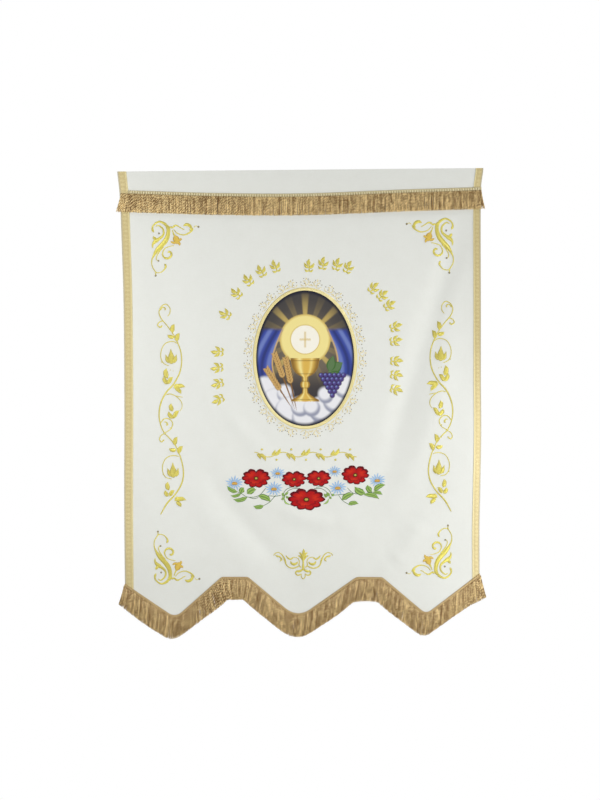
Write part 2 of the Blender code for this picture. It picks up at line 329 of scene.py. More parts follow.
@dataclass(frozen=True)
class ThreadFinish:
    """Satin stitches of shiny thread laid side by side, from a deep shade to a light one."""

    name: str
    light: Hue
    deep: Hue
    metallic: float
    roughness: float
    pitch: float = 0.55 * MM
    slant: float = 1.2
    contrast: float = 0.22
    # Hue of painted shade blended over the outer side
    edge: Hue | None = None
    grain: tuple[float, float, float] = (700.0, 700.0, 700.0)

    def material(self) -> bpy.types.Material:
        """Make the thread's material, with painted shade in the edge hue over its outer side where it has
        one.
        """
        paint = Paint(self.name)
        along, across, tone = paint.parts("thread")
        # The tone kept on the mesh carries painted sheen and painted shade wherever the pieces lay them
        stitches = (along * (math.tau / self.pitch) + across * self.slant).wave()
        fibres = paint.noise(self.grain, 2.0)
        flecks = (stitches - 0.5) * self.contrast + (fibres - 0.5) * (2.0 * self.contrast)
        colour = paint.blend((tone + flecks).clipped(), self.deep.rgba, self.light.rgba)
        # Painted shade over the outer side
        if self.edge:
            colour = paint.blend((across * 5.0 - 3.0).clipped() * 0.85, colour, self.edge.rgba)
        paint.surface(
            Base_Color=colour,
            Metallic=self.metallic,
            Roughness=self.roughness,
            Normal=paint.bump(stitches, 0.5, 0.15 * MM),
        )
        return paint.material


@dataclass(frozen=True)
class FlossFinish:
    """Coloured floss in satin stitch, each stitch in the colour kept on the mesh."""

    name: str = "coloured floss"
    pitch: float = 0.55 * MM
    roughness: float = 0.6

    def material(self) -> bpy.types.Material:
        """Make the floss material."""
        paint = Paint(self.name)
        along, across, _ = paint.parts("thread")
        stitches = (along * (math.tau / self.pitch) + across).wave()
        fibres = paint.noise((1400.0, 1400.0, 1400.0), 2.0)
        shade = paint.blend(
            (stitches * 0.3 + fibres * 0.3).clipped(), paint.colour("tint"), (0.0, 0.0, 0.0, 1.0),
        )
        paint.surface(
            Base_Color=paint.blend(0.45, paint.colour("tint"), shade),
            Roughness=self.roughness,
            Specular_IOR_Level=0.2,
            Normal=paint.bump(stitches, 0.5, 0.15 * MM),
        )
        return paint.material


@dataclass(frozen=True)
class PrintFinish:
    """Picture printed on smooth satin."""

    name: str = "printed satin"
    pitch: float = 0.35 * MM
    roughness: float = 0.42

    def material(self) -> bpy.types.Material:
        """Make the printed satin's material."""
        paint = Paint(self.name)
        x, _, z = paint.place()
        turn = math.tau / self.pitch
        weave = (x * turn + z * (turn * 0.25)).wave()
        paint.surface(
            Base_Color=paint.colour("tint"),
            Roughness=self.roughness,
            Specular_IOR_Level=0.4,
            Normal=paint.bump(weave, 0.2, 0.05 * MM),
        )
        return paint.material


@dataclass(frozen=True)
class FloorFinish:
    """Matt painted studio floor."""

    name: str = "matt studio floor"

    def material(self) -> bpy.types.Material:
        """Make the floor's material."""
        paint = Paint(self.name)
        speck = paint.noise((60.0, 60.0, 60.0), 3.0)
        paint.surface(
            Base_Color=paint.blend(speck * 0.1, Hue.FLOOR.rgba, Hue.CLOTH_SLUB.rgba),
            Roughness=0.9,
        )
        return paint.material


class Palette:
    """Every finish of the banner, made once."""

    def __init__(self) -> None:
        """Make the materials."""
        self.cloth = ClothFinish().material()
        self.gold = ThreadFinish("gold thread", Hue.GOLD, Hue.GOLD_DEEP, 0.35, 0.38).material()
        self.pale_gold = ThreadFinish(
            "pale gold thread", Hue.PALE_GOLD, Hue.PALE_GOLD_DEEP, 0.25, 0.42,
        ).material()
        self.rim = ThreadFinish("pale yellow gold thread", Hue.RIM, Hue.RIM_DEEP, 0.2, 0.42).material()
        self.berry = ThreadFinish("olive thread", Hue.BERRY, Hue.BERRY_DEEP, 0.1, 0.5).material()
        self.braid = ThreadFinish(
            "woven gold braid", Hue.BRAID, Hue.BRAID_DEEP, 0.15, 0.46, 2.2 * MM, 3.0, 0.45, Hue.BRAID_PAINTED_SHADE,
        ).material()
        self.edging = ThreadFinish(
            "fringe edging thread", Hue.FRINGE, Hue.FRINGE_DEEP, 0.25, 0.45, 0.9 * MM, 3.0, 0.5,
        ).material()
        self.heading = ThreadFinish(
            "fringe heading thread", Hue.HEADING, Hue.HEADING_DEEP, 0.25, 0.45, 0.9 * MM, 3.0,
        ).material()
        self.fringe = ThreadFinish(
            "bronze fringe cord", Hue.FRINGE, Hue.FRINGE_DEEP, 0.25, 0.42, 6.0 * MM, 2.2, 0.95, None,
            (260.0, 260.0, 75.0),
        ).material()
        self.floss = FlossFinish().material()
        self.print = PrintFinish().material()
        self.floor = FloorFinish().material()


class SmoothLine:
    """Smooth curve through (place, value) stations, level past its ends."""

    def __init__(self, stations: Stations) -> None:
        """Keep the stations and the slope at each.

        Args:
            stations: Places in rising order, each with its value.
        """
        self.places, self.values = np.array(stations, dtype=float).T
        last = len(stations) - 1
        low = np.maximum(np.arange(last + 1) - 1, 0)
        high = np.minimum(np.arange(last + 1) + 1, last)
        self.slopes = (self.values[high] - self.values[low]) / (self.places[high] - self.places[low])

    def __call__(self, place: Array | float) -> Array:
        """Value of the curve.

        Args:
            place: Where it is read.

        Returns:
            The values there.
        """
        place = np.clip(place, self.places[0], self.places[-1])
        start = np.clip(np.searchsorted(self.places, place, side="right") - 1, 0, len(self.places) - 2)
        span = self.places[start + 1] - self.places[start]
        share = (place - self.places[start]) / span
        square, cube = share ** 2, share ** 3
        return (
            (2 * cube - 3 * square + 1) * self.values[start]
            + (cube - 2 * square + share) * span * self.slopes[start]
            + (3 * square - 2 * cube) * self.values[start + 1]
            + (cube - square) * span * self.slopes[start + 1]
        )


def ease(share: Array) -> Array:
    """Smooth step from 0 to 1."""
    share = np.clip(share, 0.0, 1.0)
    return share * share * (3.0 - 2.0 * share)


def lumps(x: Array, z: Array, size: Pair, seed: int) -> Array:
    """Soft lumps of about -1 to 1, the same in each run.

    Args:
        x: Places across.
        z: Places up.
        size: Width and height of a lump.
        seed: Which of the patterns.

    Returns:
        The height at each place.
    """
    lattice = np.random.default_rng(seed).uniform(-1.0, 1.0, (97, 97))
    across, up = np.asarray(x) / size[0] + 500.0, np.asarray(z) / size[1] + 500.0
    column, row = np.floor(across).astype(int), np.floor(up).astype(int)
    u, v = ease(across - column), ease(up - row)
    corner = [lattice[(row + i) % 97, (column + j) % 97] for i in (0, 1) for j in (0, 1)]
    lower = corner[0] * (1.0 - u) + corner[1] * u
    upper = corner[2] * (1.0 - u) + corner[3] * u
    return lower * (1.0 - v) + upper * v


@dataclass(frozen=True)
class Fold:
    """A soft ridge along a curve of the hanging cloth; a negative height is a hollow."""

    start: Pair
    middle: Pair
    end: Pair
    half_width: float
    height: float
    steps: int = 60
    fade: float = 0.25

    def height_at(self, x: Array, z: Array) -> Array:
        """Height of the ridge towards the viewer.

        Args:
            x: Places across.
            z: Places up.

        Returns:
            The height at each place.
        """
        steps = np.linspace(0.0, 1.0, self.steps + 1)
        weights = np.stack(((1.0 - steps) ** 2, 2.0 * steps * (1.0 - steps), steps ** 2), axis=1)
        curve = weights @ np.array((self.start, self.middle, self.end))
        low, high = curve.min(axis=0) - 3.0 * self.half_width, curve.max(axis=0) + 3.0 * self.half_width
        close = (x > low[0]) & (x < high[0]) & (z > low[1]) & (z < high[1])
        height = np.zeros(x.shape)
        distance = np.hypot(x[close][:, None] - curve[:, 0], z[close][:, None] - curve[:, 1])
        share = steps[distance.argmin(axis=1)]
        strength = ease(np.minimum(share, 1.0 - share) / self.fade) * 0.6 + 0.4
        height[close] = self.height * strength * np.exp(-(distance.min(axis=1) / self.half_width) ** 2)
        return height


@dataclass(frozen=True)
class HangingCloth:
    """Shape of the cloth panel as it hangs: its edges, its cut lower edge, its folds and wrinkles."""

    thickness: float = 1.5 * MM
    top_edge_rise: float = 0.0074
    left_edge: Stations = (
        (-0.881, -0.375), (-0.700, -0.3758), (-0.490, -0.3752), (-0.277, -0.3768), (-0.117, -0.3821),
        (-0.053, -0.3852), (0.0, -0.3906),
    )
    right_edge: Stations = (
        (-0.865, 0.3815), (-0.760, 0.3815), (-0.680, 0.3832), (-0.560, 0.3853), (-0.432, 0.3842),
        (-0.330, 0.3838), (-0.043, 0.3838), (0.0, 0.3887),
    )
    hem_corners: Stations = (
        (-0.375, -0.8815), (-0.2672, -0.9545), (-0.1685, -0.8665), (-0.112, -0.8665), (-0.007, -0.9555),
        (0.119, -0.8665), (0.1742, -0.867), (0.2668, -0.945), (0.3815, -0.859),
    )
    hem_roundings: tuple[float, ...] = (0.015, 0.004, 0.004, 0.028, 0.006, 0.004, 0.011)
    cut_edge_drop: float = 0.006
    tail_top: float = -0.815
    edge_row: float = 0.3 * MM
    folds: tuple[Fold, ...] = (
        Fold((0.339, -0.111), (0.266, -0.360), (0.177, -0.649), 0.024, -0.0048),
        Fold((0.318, -0.383), (0.285, -0.560), (0.200, -0.715), 0.026, 0.0040),
        Fold((0.265, -0.745), (0.235, -0.800), (0.190, -0.845), 0.024, 0.0048),
        Fold((-0.146, -0.515), (-0.103, -0.567), (-0.069, -0.594), 0.022, 0.0038),
        Fold((-0.199, -0.649), (-0.108, -0.775), (-0.033, -0.841), 0.022, -0.0032),
        Fold((-0.246, -0.671), (-0.140, -0.809), (-0.086, -0.873), 0.028, 0.0016),
        Fold((-0.050, -0.712), (0.010, -0.752), (0.080, -0.752), 0.020, 0.0030),
        Fold((0.375, -0.120), (0.330, -0.200), (0.255, -0.310), 0.022, -0.0010),
        Fold((0.255, -0.310), (0.235, -0.420), (0.185, -0.590), 0.022, -0.0016),
        Fold((0.365, -0.565), (0.345, -0.700), (0.260, -0.800), 0.026, 0.0012),
        Fold((0.010, -0.620), (0.080, -0.700), (0.150, -0.830), 0.030, 0.0010),
        Fold((-0.310, -0.150), (-0.280, -0.300), (-0.250, -0.450), 0.040, 0.0022),
        Fold((-0.090, -0.620), (0.000, -0.670), (0.090, -0.640), 0.022, 0.0018),
    )
    calm_centre: Pair = (0.0096, -0.401)
    calm_size: Pair = (0.150, 0.190)
    calm_fade: float = 0.35
    top_lean: Stations = ((-0.110, 0.006), (-0.050, 0.0055), (-0.020, 0.001), (0.0, 0.0))
    left_turn: Stations = ((-0.90, -0.012), (-0.70, -0.004), (-0.45, 0.003), (-0.20, 0.006), (-0.06, 0.0))
    right_turn: Stations = ((-0.90, -0.007), (-0.55, -0.011), (-0.35, 0.002), (-0.15, 0.005), (-0.05, 0.0))
    turn_reach: float = 0.110
    tail_swing: Stations = (
        (-0.375, -0.007), (-0.265, -0.014), (-0.140, -0.006), (-0.003, -0.011), (0.150, -0.001),
        (0.275, 0.006), (0.381, 0.002),
    )
    swing_top: float = -0.800
    wrinkle_height: float = 0.45 * MM

    def hem(self, x: Array) -> Array:
        """Height of the lower heading line: straight spans with rounded corners.

        Args:
            x: Places across.

        Returns:
            The height of the line at each place.
        """
        corners_x, corners_z = np.array(self.hem_corners).T
        slopes = np.diff(corners_z) / np.diff(corners_x)
        height = np.interp(x, corners_x, corners_z)
        for corner_x, turn, rounding in zip(corners_x[1:-1], np.diff(slopes), self.hem_roundings):
            inside = np.maximum(0.0, rounding - np.abs(x - corner_x))
            height = height + turn * inside ** 2 / (4.0 * rounding)
        return height

    def wrinkles(self, x: Array, z: Array) -> Array:
        """Small unevenness of the hanging cloth."""
        broad = lumps(x, z, (0.060, 0.110), 11) + 0.5 * lumps(x + 0.4 * z, z, (0.028, 0.070), 12)
        return self.wrinkle_height * broad

    def middle_y(self, x: Array, z: Array) -> Array:
        """Where the middle of the cloth hangs.

        Args:
            x: Places across.
            z: Places up.

        Returns:
            Y at each place.
        """
        x, z = np.broadcast_arrays(np.asarray(x, dtype=float), np.asarray(z, dtype=float))
        left_share = np.maximum(0.0, 1.0 - (x - SmoothLine(self.left_edge)(z)) / self.turn_reach) ** 2
        right_share = np.maximum(0.0, 1.0 - (SmoothLine(self.right_edge)(z) - x) / self.turn_reach) ** 2
        lowest = min(corner_z for _, corner_z in self.hem_corners)
        tail_share = ease((self.swing_top - z) / (self.swing_top - lowest))
        across = (x - self.calm_centre[0]) / self.calm_size[0]
        up = (z - self.calm_centre[1]) / self.calm_size[1]
        calm = ease((np.hypot(across, up) - 1.0) / self.calm_fade)
        forward = (
            sum(fold.height_at(x, z) for fold in self.folds) * calm
            + self.wrinkles(x, z) * (0.4 + 0.6 * calm)
            + left_share * SmoothLine(self.left_turn)(z)
            + right_share * SmoothLine(self.right_turn)(z)
            + tail_share * SmoothLine(self.tail_swing)(x)
        )
        return SmoothLine(self.top_lean)(z) - forward

    def face_y(self, x: Array, z: Array) -> Array:
        """Y of the cloth's face."""
        return self.middle_y(x, z) - self.thickness / 2.0

    def panel(self, shares: Array, straight_rows: int, tail_rows: int) -> tuple[Array, Array]:
        """Places on the panel, in rows from the top edge down to the cut edge.

        Args:
            shares: Columns as shares of the width, from the left edge to the right one.
            straight_rows: Rows above the hanging points.
            tail_rows: Rows that follow the cut edge.

        Returns:
            X and Z of each place.
        """
        corners_x = np.array(self.hem_corners)[:, 0]
        levels = np.linspace(0.0, self.tail_top, straight_rows + 1)
        levels = np.insert(levels, 1, -self.edge_row)[:, None]
        upper = levels + (shares - 0.5) * self.top_edge_rise * (1.0 - levels / self.tail_top)
        tail_x = corners_x[0] + (corners_x[-1] - corners_x[0]) * shares
        cut_edge = self.hem(tail_x) - self.cut_edge_drop
        steps = np.linspace(0.0, 1.0, tail_rows + 1)[1:, None]
        z = np.vstack((upper, self.tail_top + (cut_edge - self.tail_top) * steps))
        left, right = SmoothLine(self.left_edge)(z), SmoothLine(self.right_edge)(z)
        return left + (right - left) * shares, z


class MeshDraft:
    """Collects points, faces and the thread and tint values of one piece."""

    def __init__(self) -> None:
        """Start empty."""
        self.points: list[Array] = []
        self.threads: list[Array] = []
        self.tints: list[Array] = []
        self.faces: list[Array] = []
        self.caps: list[list[int]] = []
        self.count = 0

    def add_points(self, points: Array, thread: Array, tint: Array | None = None) -> Array:
        """Add points.

        Args:
            points: Places, in any grid shape with three numbers last.
            thread: Along, across and tone of each point, in the same shape.
            tint: Linear colour of each point, in the same shape.

        Returns:
            Numbers of the points, in the grid's shape.
        """
        numbers = np.arange(points[..., 0].size).reshape(points.shape[:-1]) + self.count
        self.points.append(points.reshape(-1, 3))
        self.threads.append(np.broadcast_to(thread, points.shape).reshape(-1, 3))
        colour = np.zeros(points.shape) if tint is None else np.broadcast_to(tint, points.shape)
        self.tints.append(colour.reshape(-1, 3))
        self.count += numbers.size
        return numbers

    def add_faces(self, numbers: Array, flip: bool = False, wrap: bool = False) -> None:
        """Join a grid of points with four-sided faces.

        Args:
            numbers: Grid of point numbers.
            flip: Whether the faces look the other way.
            wrap: Whether the last column joins the first.
        """
        if wrap:
            numbers = np.hstack((numbers, numbers[:, :1]))
        quads = np.stack(
            (numbers[:-1, :-1], numbers[1:, :-1], numbers[1:, 1:], numbers[:-1, 1:]), axis=-1,
        ).reshape(-1, 4)
        self.faces.append(quads[:, ::-1] if flip else quads)

    def add_tube(self, rings: Array, thread: Array, tint: Array | None = None) -> None:
        """Add a closed tube of rings.

        Args:
            rings: Points of each ring, as rings by points by three numbers.
            thread: Along, across and tone of each point.
            tint: Linear colour of each point.
        """
        numbers = self.add_points(rings, thread, tint)
        self.add_faces(numbers, wrap=True)
        self.caps.append(numbers[0].tolist())
        self.caps.append(numbers[-1][::-1].tolist())

    def add_slab(self, front: Array, back: Array, thread: Array, tint: Array | None = None) -> None:
        """Add a closed sheet between a front and a back grid of points.

        Args:
            front: Grid of points seen from the front, from the top down.
            back: Grid behind it.
            thread: Along, across and tone of each point of the front.
            tint: Linear colour of each point of the front.
        """
        face = self.add_points(front, thread, tint)
        rear = self.add_points(back, thread, tint)
        self.add_faces(face)
        self.add_faces(rear, flip=True)
        for front_edge, back_edge in (
            (face[0], rear[0]), (face[-1][::-1], rear[-1][::-1]),
            (face[::-1, 0], rear[::-1, 0]), (face[:, -1], rear[:, -1]),
        ):
            self.add_faces(np.stack((front_edge, back_edge)), flip=True)

    def add_disc(self, front: Array, back: Array, thread: Array, tint: Array) -> None:
        """Add a closed disc between a front and a back grid of rings.

        Args:
            front: Points seen from the front, as rings from the rim inwards.
            back: Points behind them.
            thread: Along, across and tone of each point of the front.
            tint: Linear colour of each point of the front.
        """
        face = self.add_points(front, thread, tint)
        few = [0, len(front) // 2, -1]
        rear = self.add_points(back[few], thread if thread.ndim == 1 else thread[few], tint[few])
        self.add_faces(face[:, ::-1], wrap=True)
        self.add_faces(rear[:, ::-1], wrap=True, flip=True)
        self.add_faces(np.stack((face[0], rear[0])), wrap=True)
        self.caps.append(face[-1].tolist())
        self.caps.append(rear[-1][::-1].tolist())

    def piece(self, name: str, finish: bpy.types.Material, slot: str, *nodes: str) -> bpy.types.Object:
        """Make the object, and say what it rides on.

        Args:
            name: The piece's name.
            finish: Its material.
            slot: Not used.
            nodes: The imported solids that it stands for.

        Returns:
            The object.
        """
        mesh = bpy.data.meshes.new(name)
        faces = np.vstack(self.faces).tolist() + self.caps
        points = np.vstack(self.points)
        mesh.from_pydata(points.tolist(), [], faces)
        for label, values in (("thread", self.threads), ("tint", self.tints)):
            attribute = mesh.attributes.new(label, "FLOAT_VECTOR", "POINT")
            attribute.data.foreach_set("vector", np.vstack(values).astype(np.float32).ravel())
        mesh.shade_smooth()
        mesh.materials.append(finish)
        thing = bpy.data.objects.new(name, mesh)
        bpy.context.scene.collection.objects.link(thing)
        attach(thing, "root")
        if nodes:
            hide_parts(*nodes)
        LOG.info("%s: %d points, %d faces", name, len(points), len(faces))
        return thing


@dataclass(frozen=True)
class Stroke:
    """One run of satin stitch: points of its middle line and its width at each, in millimetres."""

    points: Stations
    widths: tuple[float, ...]


@dataclass(frozen=True)
class Placing:
    """Where a motif lies on the face, and whether it is turned over or turned round."""

    x: float
    z: float
    mirror: bool = False
    flip: bool = False
    turn: float = 0.0
    scale: float = 1.0
    bold: float = 1.0

    def apply(self, points: Array) -> Array:
        """Bring a motif's points in millimetres to the face in metres.

        Args:
            points: Pairs in millimetres.

        Returns:
            Pairs in metres.
        """
        across = points[:, 0] * (-1.0 if self.mirror else 1.0) * self.scale * MM
        up = points[:, 1] * (-1.0 if self.flip else 1.0) * self.scale * MM
        cosine, sine = math.cos(self.turn), math.sin(self.turn)
        return np.stack((self.x + across * cosine - up * sine, self.z + across * sine + up * cosine), axis=1)


def smooth_path(points: Array, values: Array, step: float) -> tuple[Array, Array]:
    """Even points of a smooth curve through some points, with values carried along.

    Args:
        points: Pairs that the curve passes through.
        values: One row of values for each.
        step: Spacing of the new points.

    Returns:
        The new pairs and their values.
    """
    closed_up = np.vstack((2 * points[0] - points[1], points, 2 * points[-1] - points[-2]))
    fine, carried = [], []
    shares = np.linspace(0.0, 1.0, 25)[:-1, None]
    for index in range(len(points) - 1):
        a, b, c, d = closed_up[index:index + 4]
        fine.append(0.5 * (
            2 * b + (c - a) * shares + (2 * a - 5 * b + 4 * c - d) * shares ** 2
            + (3 * b - a - 3 * c + d) * shares ** 3
        ))
        carried.append(values[index] + (values[index + 1] - values[index]) * ease(shares))
    path = np.vstack(fine + [points[-1:]])
    kept = np.vstack(carried + [values[-1:]])
    lengths = np.concatenate(([0.0], np.cumsum(np.hypot(*np.diff(path, axis=0).T))))
    count = max(4, int(lengths[-1] / step) + 1)
    places = np.linspace(0.0, lengths[-1], count)
    spread = [np.interp(places, lengths, column) for column in path.T]
    widths = [np.interp(places, lengths, column) for column in kept.T]
    return np.stack(spread, axis=1), np.stack(widths, axis=1)


@dataclass
class Needle:
    """Lays raised stitches on the hanging cloth."""

    cloth: HangingCloth
    draft: MeshDraft = field(default_factory=MeshDraft)
    step: float = 1.5 * MM
    relief: float = 0.35 * MM
    relief_share: float = 0.11
    relief_limit: float = 1.1 * MM
    # Direction of the light whose painted sheen the satin strokes carry
    painted_sheen_angle: float = 0.6
    section: Stations = (
        (-1.0, -0.35), (-0.86, 0.40), (-0.5, 0.86), (0.0, 1.0), (0.5, 0.86), (0.86, 0.40), (1.0, -0.35),
    )
    petal_half_width: float = 0.47
    petal_fullness: float = 0.28
    bloom_sides: int = 168
    bloom_rings: int = 30

    def ribbon(
        self, points: Array, widths: Array, tone: float = 0.5, lift: float = 0.0,
        tints: tuple[Hue, Hue] | None = None, vein: float = 0.0,
    ) -> None:
        """Lay one run of satin stitch with rounded ends.

        Args:
            points: Pairs on the face that its middle line passes through.
            widths: Width at each.
            tone: Shade of the thread, 0 deep to 1 light.
            lift: How far it lies above the cloth, as over another run.
            tints: Colours of its body and its edges.
            vein: How much of the edges' colour its middle line has.
        """
        path, carried = smooth_path(points, widths[:, None], self.step)
        lengths = np.concatenate(([0.0], np.cumsum(np.hypot(*np.diff(path, axis=0).T))))
        width = carried[:, 0]
        for distance in (lengths, lengths[-1] - lengths):
            radius = np.maximum(width / 2.0, 1e-5)
            inside = np.clip(1.0 - distance / radius, 0.0, 0.96)
            width = width * np.sqrt(1.0 - inside ** 2)
        direction = np.gradient(path, axis=0)
        direction /= np.maximum(np.hypot(*direction.T), 1e-9)[:, None]
        normal = np.stack((-direction[:, 1], direction[:, 0]), axis=1)
        across, rise = np.array(self.section).T
        place = path[:, None, :] + normal[:, None, :] * (across[None, :] * width[:, None] / 2.0)[..., None]
        crown = np.minimum(self.relief + self.relief_share * width, self.relief_limit)
        height = crown[:, None] * rise[None, :] + np.where(rise > 0.0, lift, 0.0)
        y = self.cloth.face_y(place[..., 0], place[..., 1]) - height
        # Tone: painted sheen that follows each stroke's direction against a fixed light angle, and painted
        # shade darkening the stroke's rounded edges
        painted_sheen = 0.5 + 0.5 * np.cos(2.0 * (np.arctan2(direction[:, 1], direction[:, 0]) - self.painted_sheen_angle))
        shade = tone + 0.34 * (painted_sheen[:, None] - 0.5) - 0.42 * across[None, :] ** 4
        thread = np.stack(
            (np.broadcast_to(lengths[:, None], y.shape), np.broadcast_to(across, y.shape), shade), axis=-1,
        )
        tint = None
        if tints:
            edge = np.where(np.abs(across) > 0.8, 1.0, np.where(across == 0.0, vein, 0.1))[:, None]
            tint = (tints[0].linear * (1.0 - edge) + tints[1].linear * edge)[None, :, :]
            tint = np.broadcast_to(tint, (*y.shape, 3))
        rings = np.stack((place[..., 0], y, place[..., 1]), axis=-1)
        self.draft.add_tube(rings[:, ::-1], thread[:, ::-1], None if tint is None else tint[:, ::-1])

    def stroke(self, stroke: Stroke, placing: Placing, **looks: object) -> None:
        """Lay one stroke of a motif.

        Args:
            stroke: The stroke.
            placing: Where the motif lies.
            looks: Tone, lift or tints of the run.
        """
        points = placing.apply(np.array(stroke.points, dtype=float))
        self.ribbon(points, np.array(stroke.widths) * placing.scale * placing.bold * MM, **looks)

    def leaf(
        self, start: Pair, tip: Pair, width: float, placing: Placing, bend: float = 0.12, **looks: object,
    ) -> None:
        """Lay a pointed leaf.

        Args:
            start: Its foot, in millimetres.
            tip: Its tip, in millimetres.
            width: Its greatest width, in millimetres.
            placing: Where the motif lies.
            bend: How far it curves, as a share of its length.
            looks: Tone, lift or tints of the run.
        """
        foot, end = np.array(start, dtype=float), np.array(tip, dtype=float)
        side = np.array((-(end - foot)[1], (end - foot)[0])) * bend
        lower, upper = foot + (end - foot) * 0.3 + side * 0.8, foot + (end - foot) * 0.65 + side
        points = np.stack((foot, lower, upper, end))
        widths = (width * 0.25, width * 0.92, width * 0.85, width * 0.1)
        self.stroke(Stroke(tuple(map(tuple, points)), widths), placing, **looks)

    def dot(self, centre: Pair, width: float, placing: Placing, **looks: object) -> None:
        """Lay a small round knot of thread.

        Args:
            centre: Its middle, in millimetres.
            width: Its width, in millimetres.
            placing: Where the motif lies.
            looks: Tone, lift or tints of the run.
        """
        reach = width * 0.5
        points = ((centre[0] - reach, centre[1]), centre, (centre[0] + reach, centre[1]))
        self.stroke(Stroke(points, (width, width, width)), placing, **looks)

    def bloom(
        self, centre: Pair, size: Pair, turn: float, petals: Stations, hues: tuple[Hue, Hue, Hue],
    ) -> None:
        """Lay an open flower of overlapping petals as one domed fan of stitches.

        Args:
            centre: Its middle on the face, in metres.
            size: Its half width and half height, in metres.
            turn: How far the petals are turned.
            petals: Angle and reach of each petal, the reach as a share of the size.
            hues: Its body, its lighter parts and its rims.
        """
        angle = np.linspace(0.0, math.tau, self.bloom_sides, endpoint=False)[None, :]
        away = [(angle - turn - facing + math.pi) % math.tau - math.pi for facing, _ in petals]
        away = [np.clip(off / self.petal_half_width, -1.0, 1.0) for off in away]
        shapes = [
            reach * np.cos(off * math.pi / 2.0) ** self.petal_fullness
            for off, (_, reach) in zip(away, petals)
        ]
        nearest = np.sort(np.stack(shapes), axis=0)
        outline = nearest[-1] * (1.0 + 0.012 * np.cos(19.0 * angle))
        share = np.linspace(1.0, 0.04, self.bloom_rings)[:, None]
        seam = np.exp(-((nearest[-1] - nearest[-2]) / 0.08) ** 2) * ease((share - 0.55) / 0.25)
        rim = ease((share - 0.84 + 0.12 * np.maximum(0.0, np.sin(angle))) / 0.10)
        lap = np.exp(-((share - 0.62 - 0.05 * np.cos(3.0 * angle)) / 0.05) ** 2)
        lap = lap * ease((0.15 - np.sin(angle)) / 0.5)
        streak = 0.5 + 0.5 * np.sin(angle * 37.0 + 3.0 * np.sin(5.0 * angle))
        dark = np.clip(rim + 0.7 * seam + 0.6 * lap + 0.15 * streak, 0.0, 1.0)[..., None]
        light = np.exp(-((share - 0.52) / 0.2) ** 2) * (0.5 + 0.5 * np.cos(3.0 * angle - 0.9))
        light = light * (0.4 + 0.6 * streak)
        plain, lit, edge = (hue.linear for hue in hues)
        tint = (plain * (1.0 - light[..., None]) + lit * light[..., None]) * (1.0 - dark) + edge * dark
        x = centre[0] + size[0] * share * outline * np.cos(angle)
        z = centre[1] + size[1] * share * outline * np.sin(angle)
        face = self.cloth.face_y(x, z)
        dome = (1.0 - share ** 12) * (1.0 - 0.35 * seam - 0.2 * lap)
        front = np.stack((x, face - (0.4 + 0.9 * dome) * MM, z), axis=-1)
        back = np.stack((x, face + 0.1 * MM, z), axis=-1)
        thread = np.stack((np.broadcast_to(angle * size[1] * 0.6, x.shape), 0.0 * x, 0.0 * x + 0.5), axis=-1)
        self.draft.add_disc(front, back, thread, tint)


@dataclass
class BannerCloth:
    """The ecru panel with its cut lower edge."""

    shape: HangingCloth
    palette: Palette
    columns: int = 180
    straight_rows: int = 190
    tail_rows: int = 26

    def build(self) -> bpy.types.Object:
        """Build the panel as one closed sheet.

        Returns:
            The cloth.
        """
        shares = np.linspace(0.0, 1.0, self.columns + 1)
        x, z = self.shape.panel(shares, self.straight_rows, self.tail_rows)
        y = self.shape.middle_y(x, z)
        half = self.shape.thickness / 2.0
        front, back = (np.stack((x, y + shift, z), axis=-1) for shift in (-half, half))
        draft = MeshDraft()
        draft.add_slab(front, back, np.stack((x, z, y), axis=-1))
        return draft.piece("woven_banner_cloth", self.palette.cloth, "cloth", "banner_cloth")


@dataclass
class Galloon:
    """Narrow gold braid sewn down one side edge."""

    shape: HangingCloth
    palette: Palette
    on_right: bool
    width: float
    thickness: float = 0.8 * MM
    sewn_gap: float = 0.2 * MM
    repeat: float = 9.0 * MM
    picot_reach: float = 0.35 * MM
    columns: int = 20
    straight_rows: int = 940
    tail_rows: int = 60

    def build(self) -> bpy.types.Object:
        """Build the braid as a thin strip with its woven diamonds raised.

        Returns:
            The braid.
        """
        span = self.width / (self.shape.hem_corners[-1][0] - self.shape.hem_corners[0][0])
        shares = np.linspace(0.0, span, self.columns + 1)
        if self.on_right:
            shares = 1.0 - span + shares
        x, z = self.shape.panel(shares, self.straight_rows, self.tail_rows)
        across = np.broadcast_to(np.linspace(-1.0, 1.0, self.columns + 1), x.shape)
        along = -z
        outward = 1.0 if self.on_right else -1.0
        beat = math.tau * along / (self.repeat / 3.0)
        picot = self.picot_reach * np.sin(beat) * np.maximum(0.0, across * outward) ** 8
        phase = np.abs((along / self.repeat) % 1.0 - 0.5) * 2.0
        diamond = ease((0.95 - phase - np.abs(across) / 0.72) / 0.35)
        border = ease((np.abs(across) - 0.74) / 0.08) * (0.7 + 0.3 * np.cos(beat))
        raised = np.maximum(diamond, border)
        face = self.shape.face_y(x, z)
        front_y = face - self.sewn_gap - self.thickness * (0.75 + 0.3 * raised)
        front = np.stack((x + outward * picot, front_y, z), axis=-1)
        back = np.stack((x + outward * picot, face - self.sewn_gap * 0.5, z), axis=-1)
        aside = across * outward
        tone = 0.44 + 0.16 * raised + 0.28 * ease((-aside - 0.5) / 0.4)
        thread = np.stack((along, aside, tone), axis=-1)
        draft = MeshDraft()
        draft.add_slab(front, back, thread)
        side = "right" if self.on_right else "left"
        return draft.piece(f"gold_braid_{side}", self.palette.braid, "braid", f"galloon_{side}")


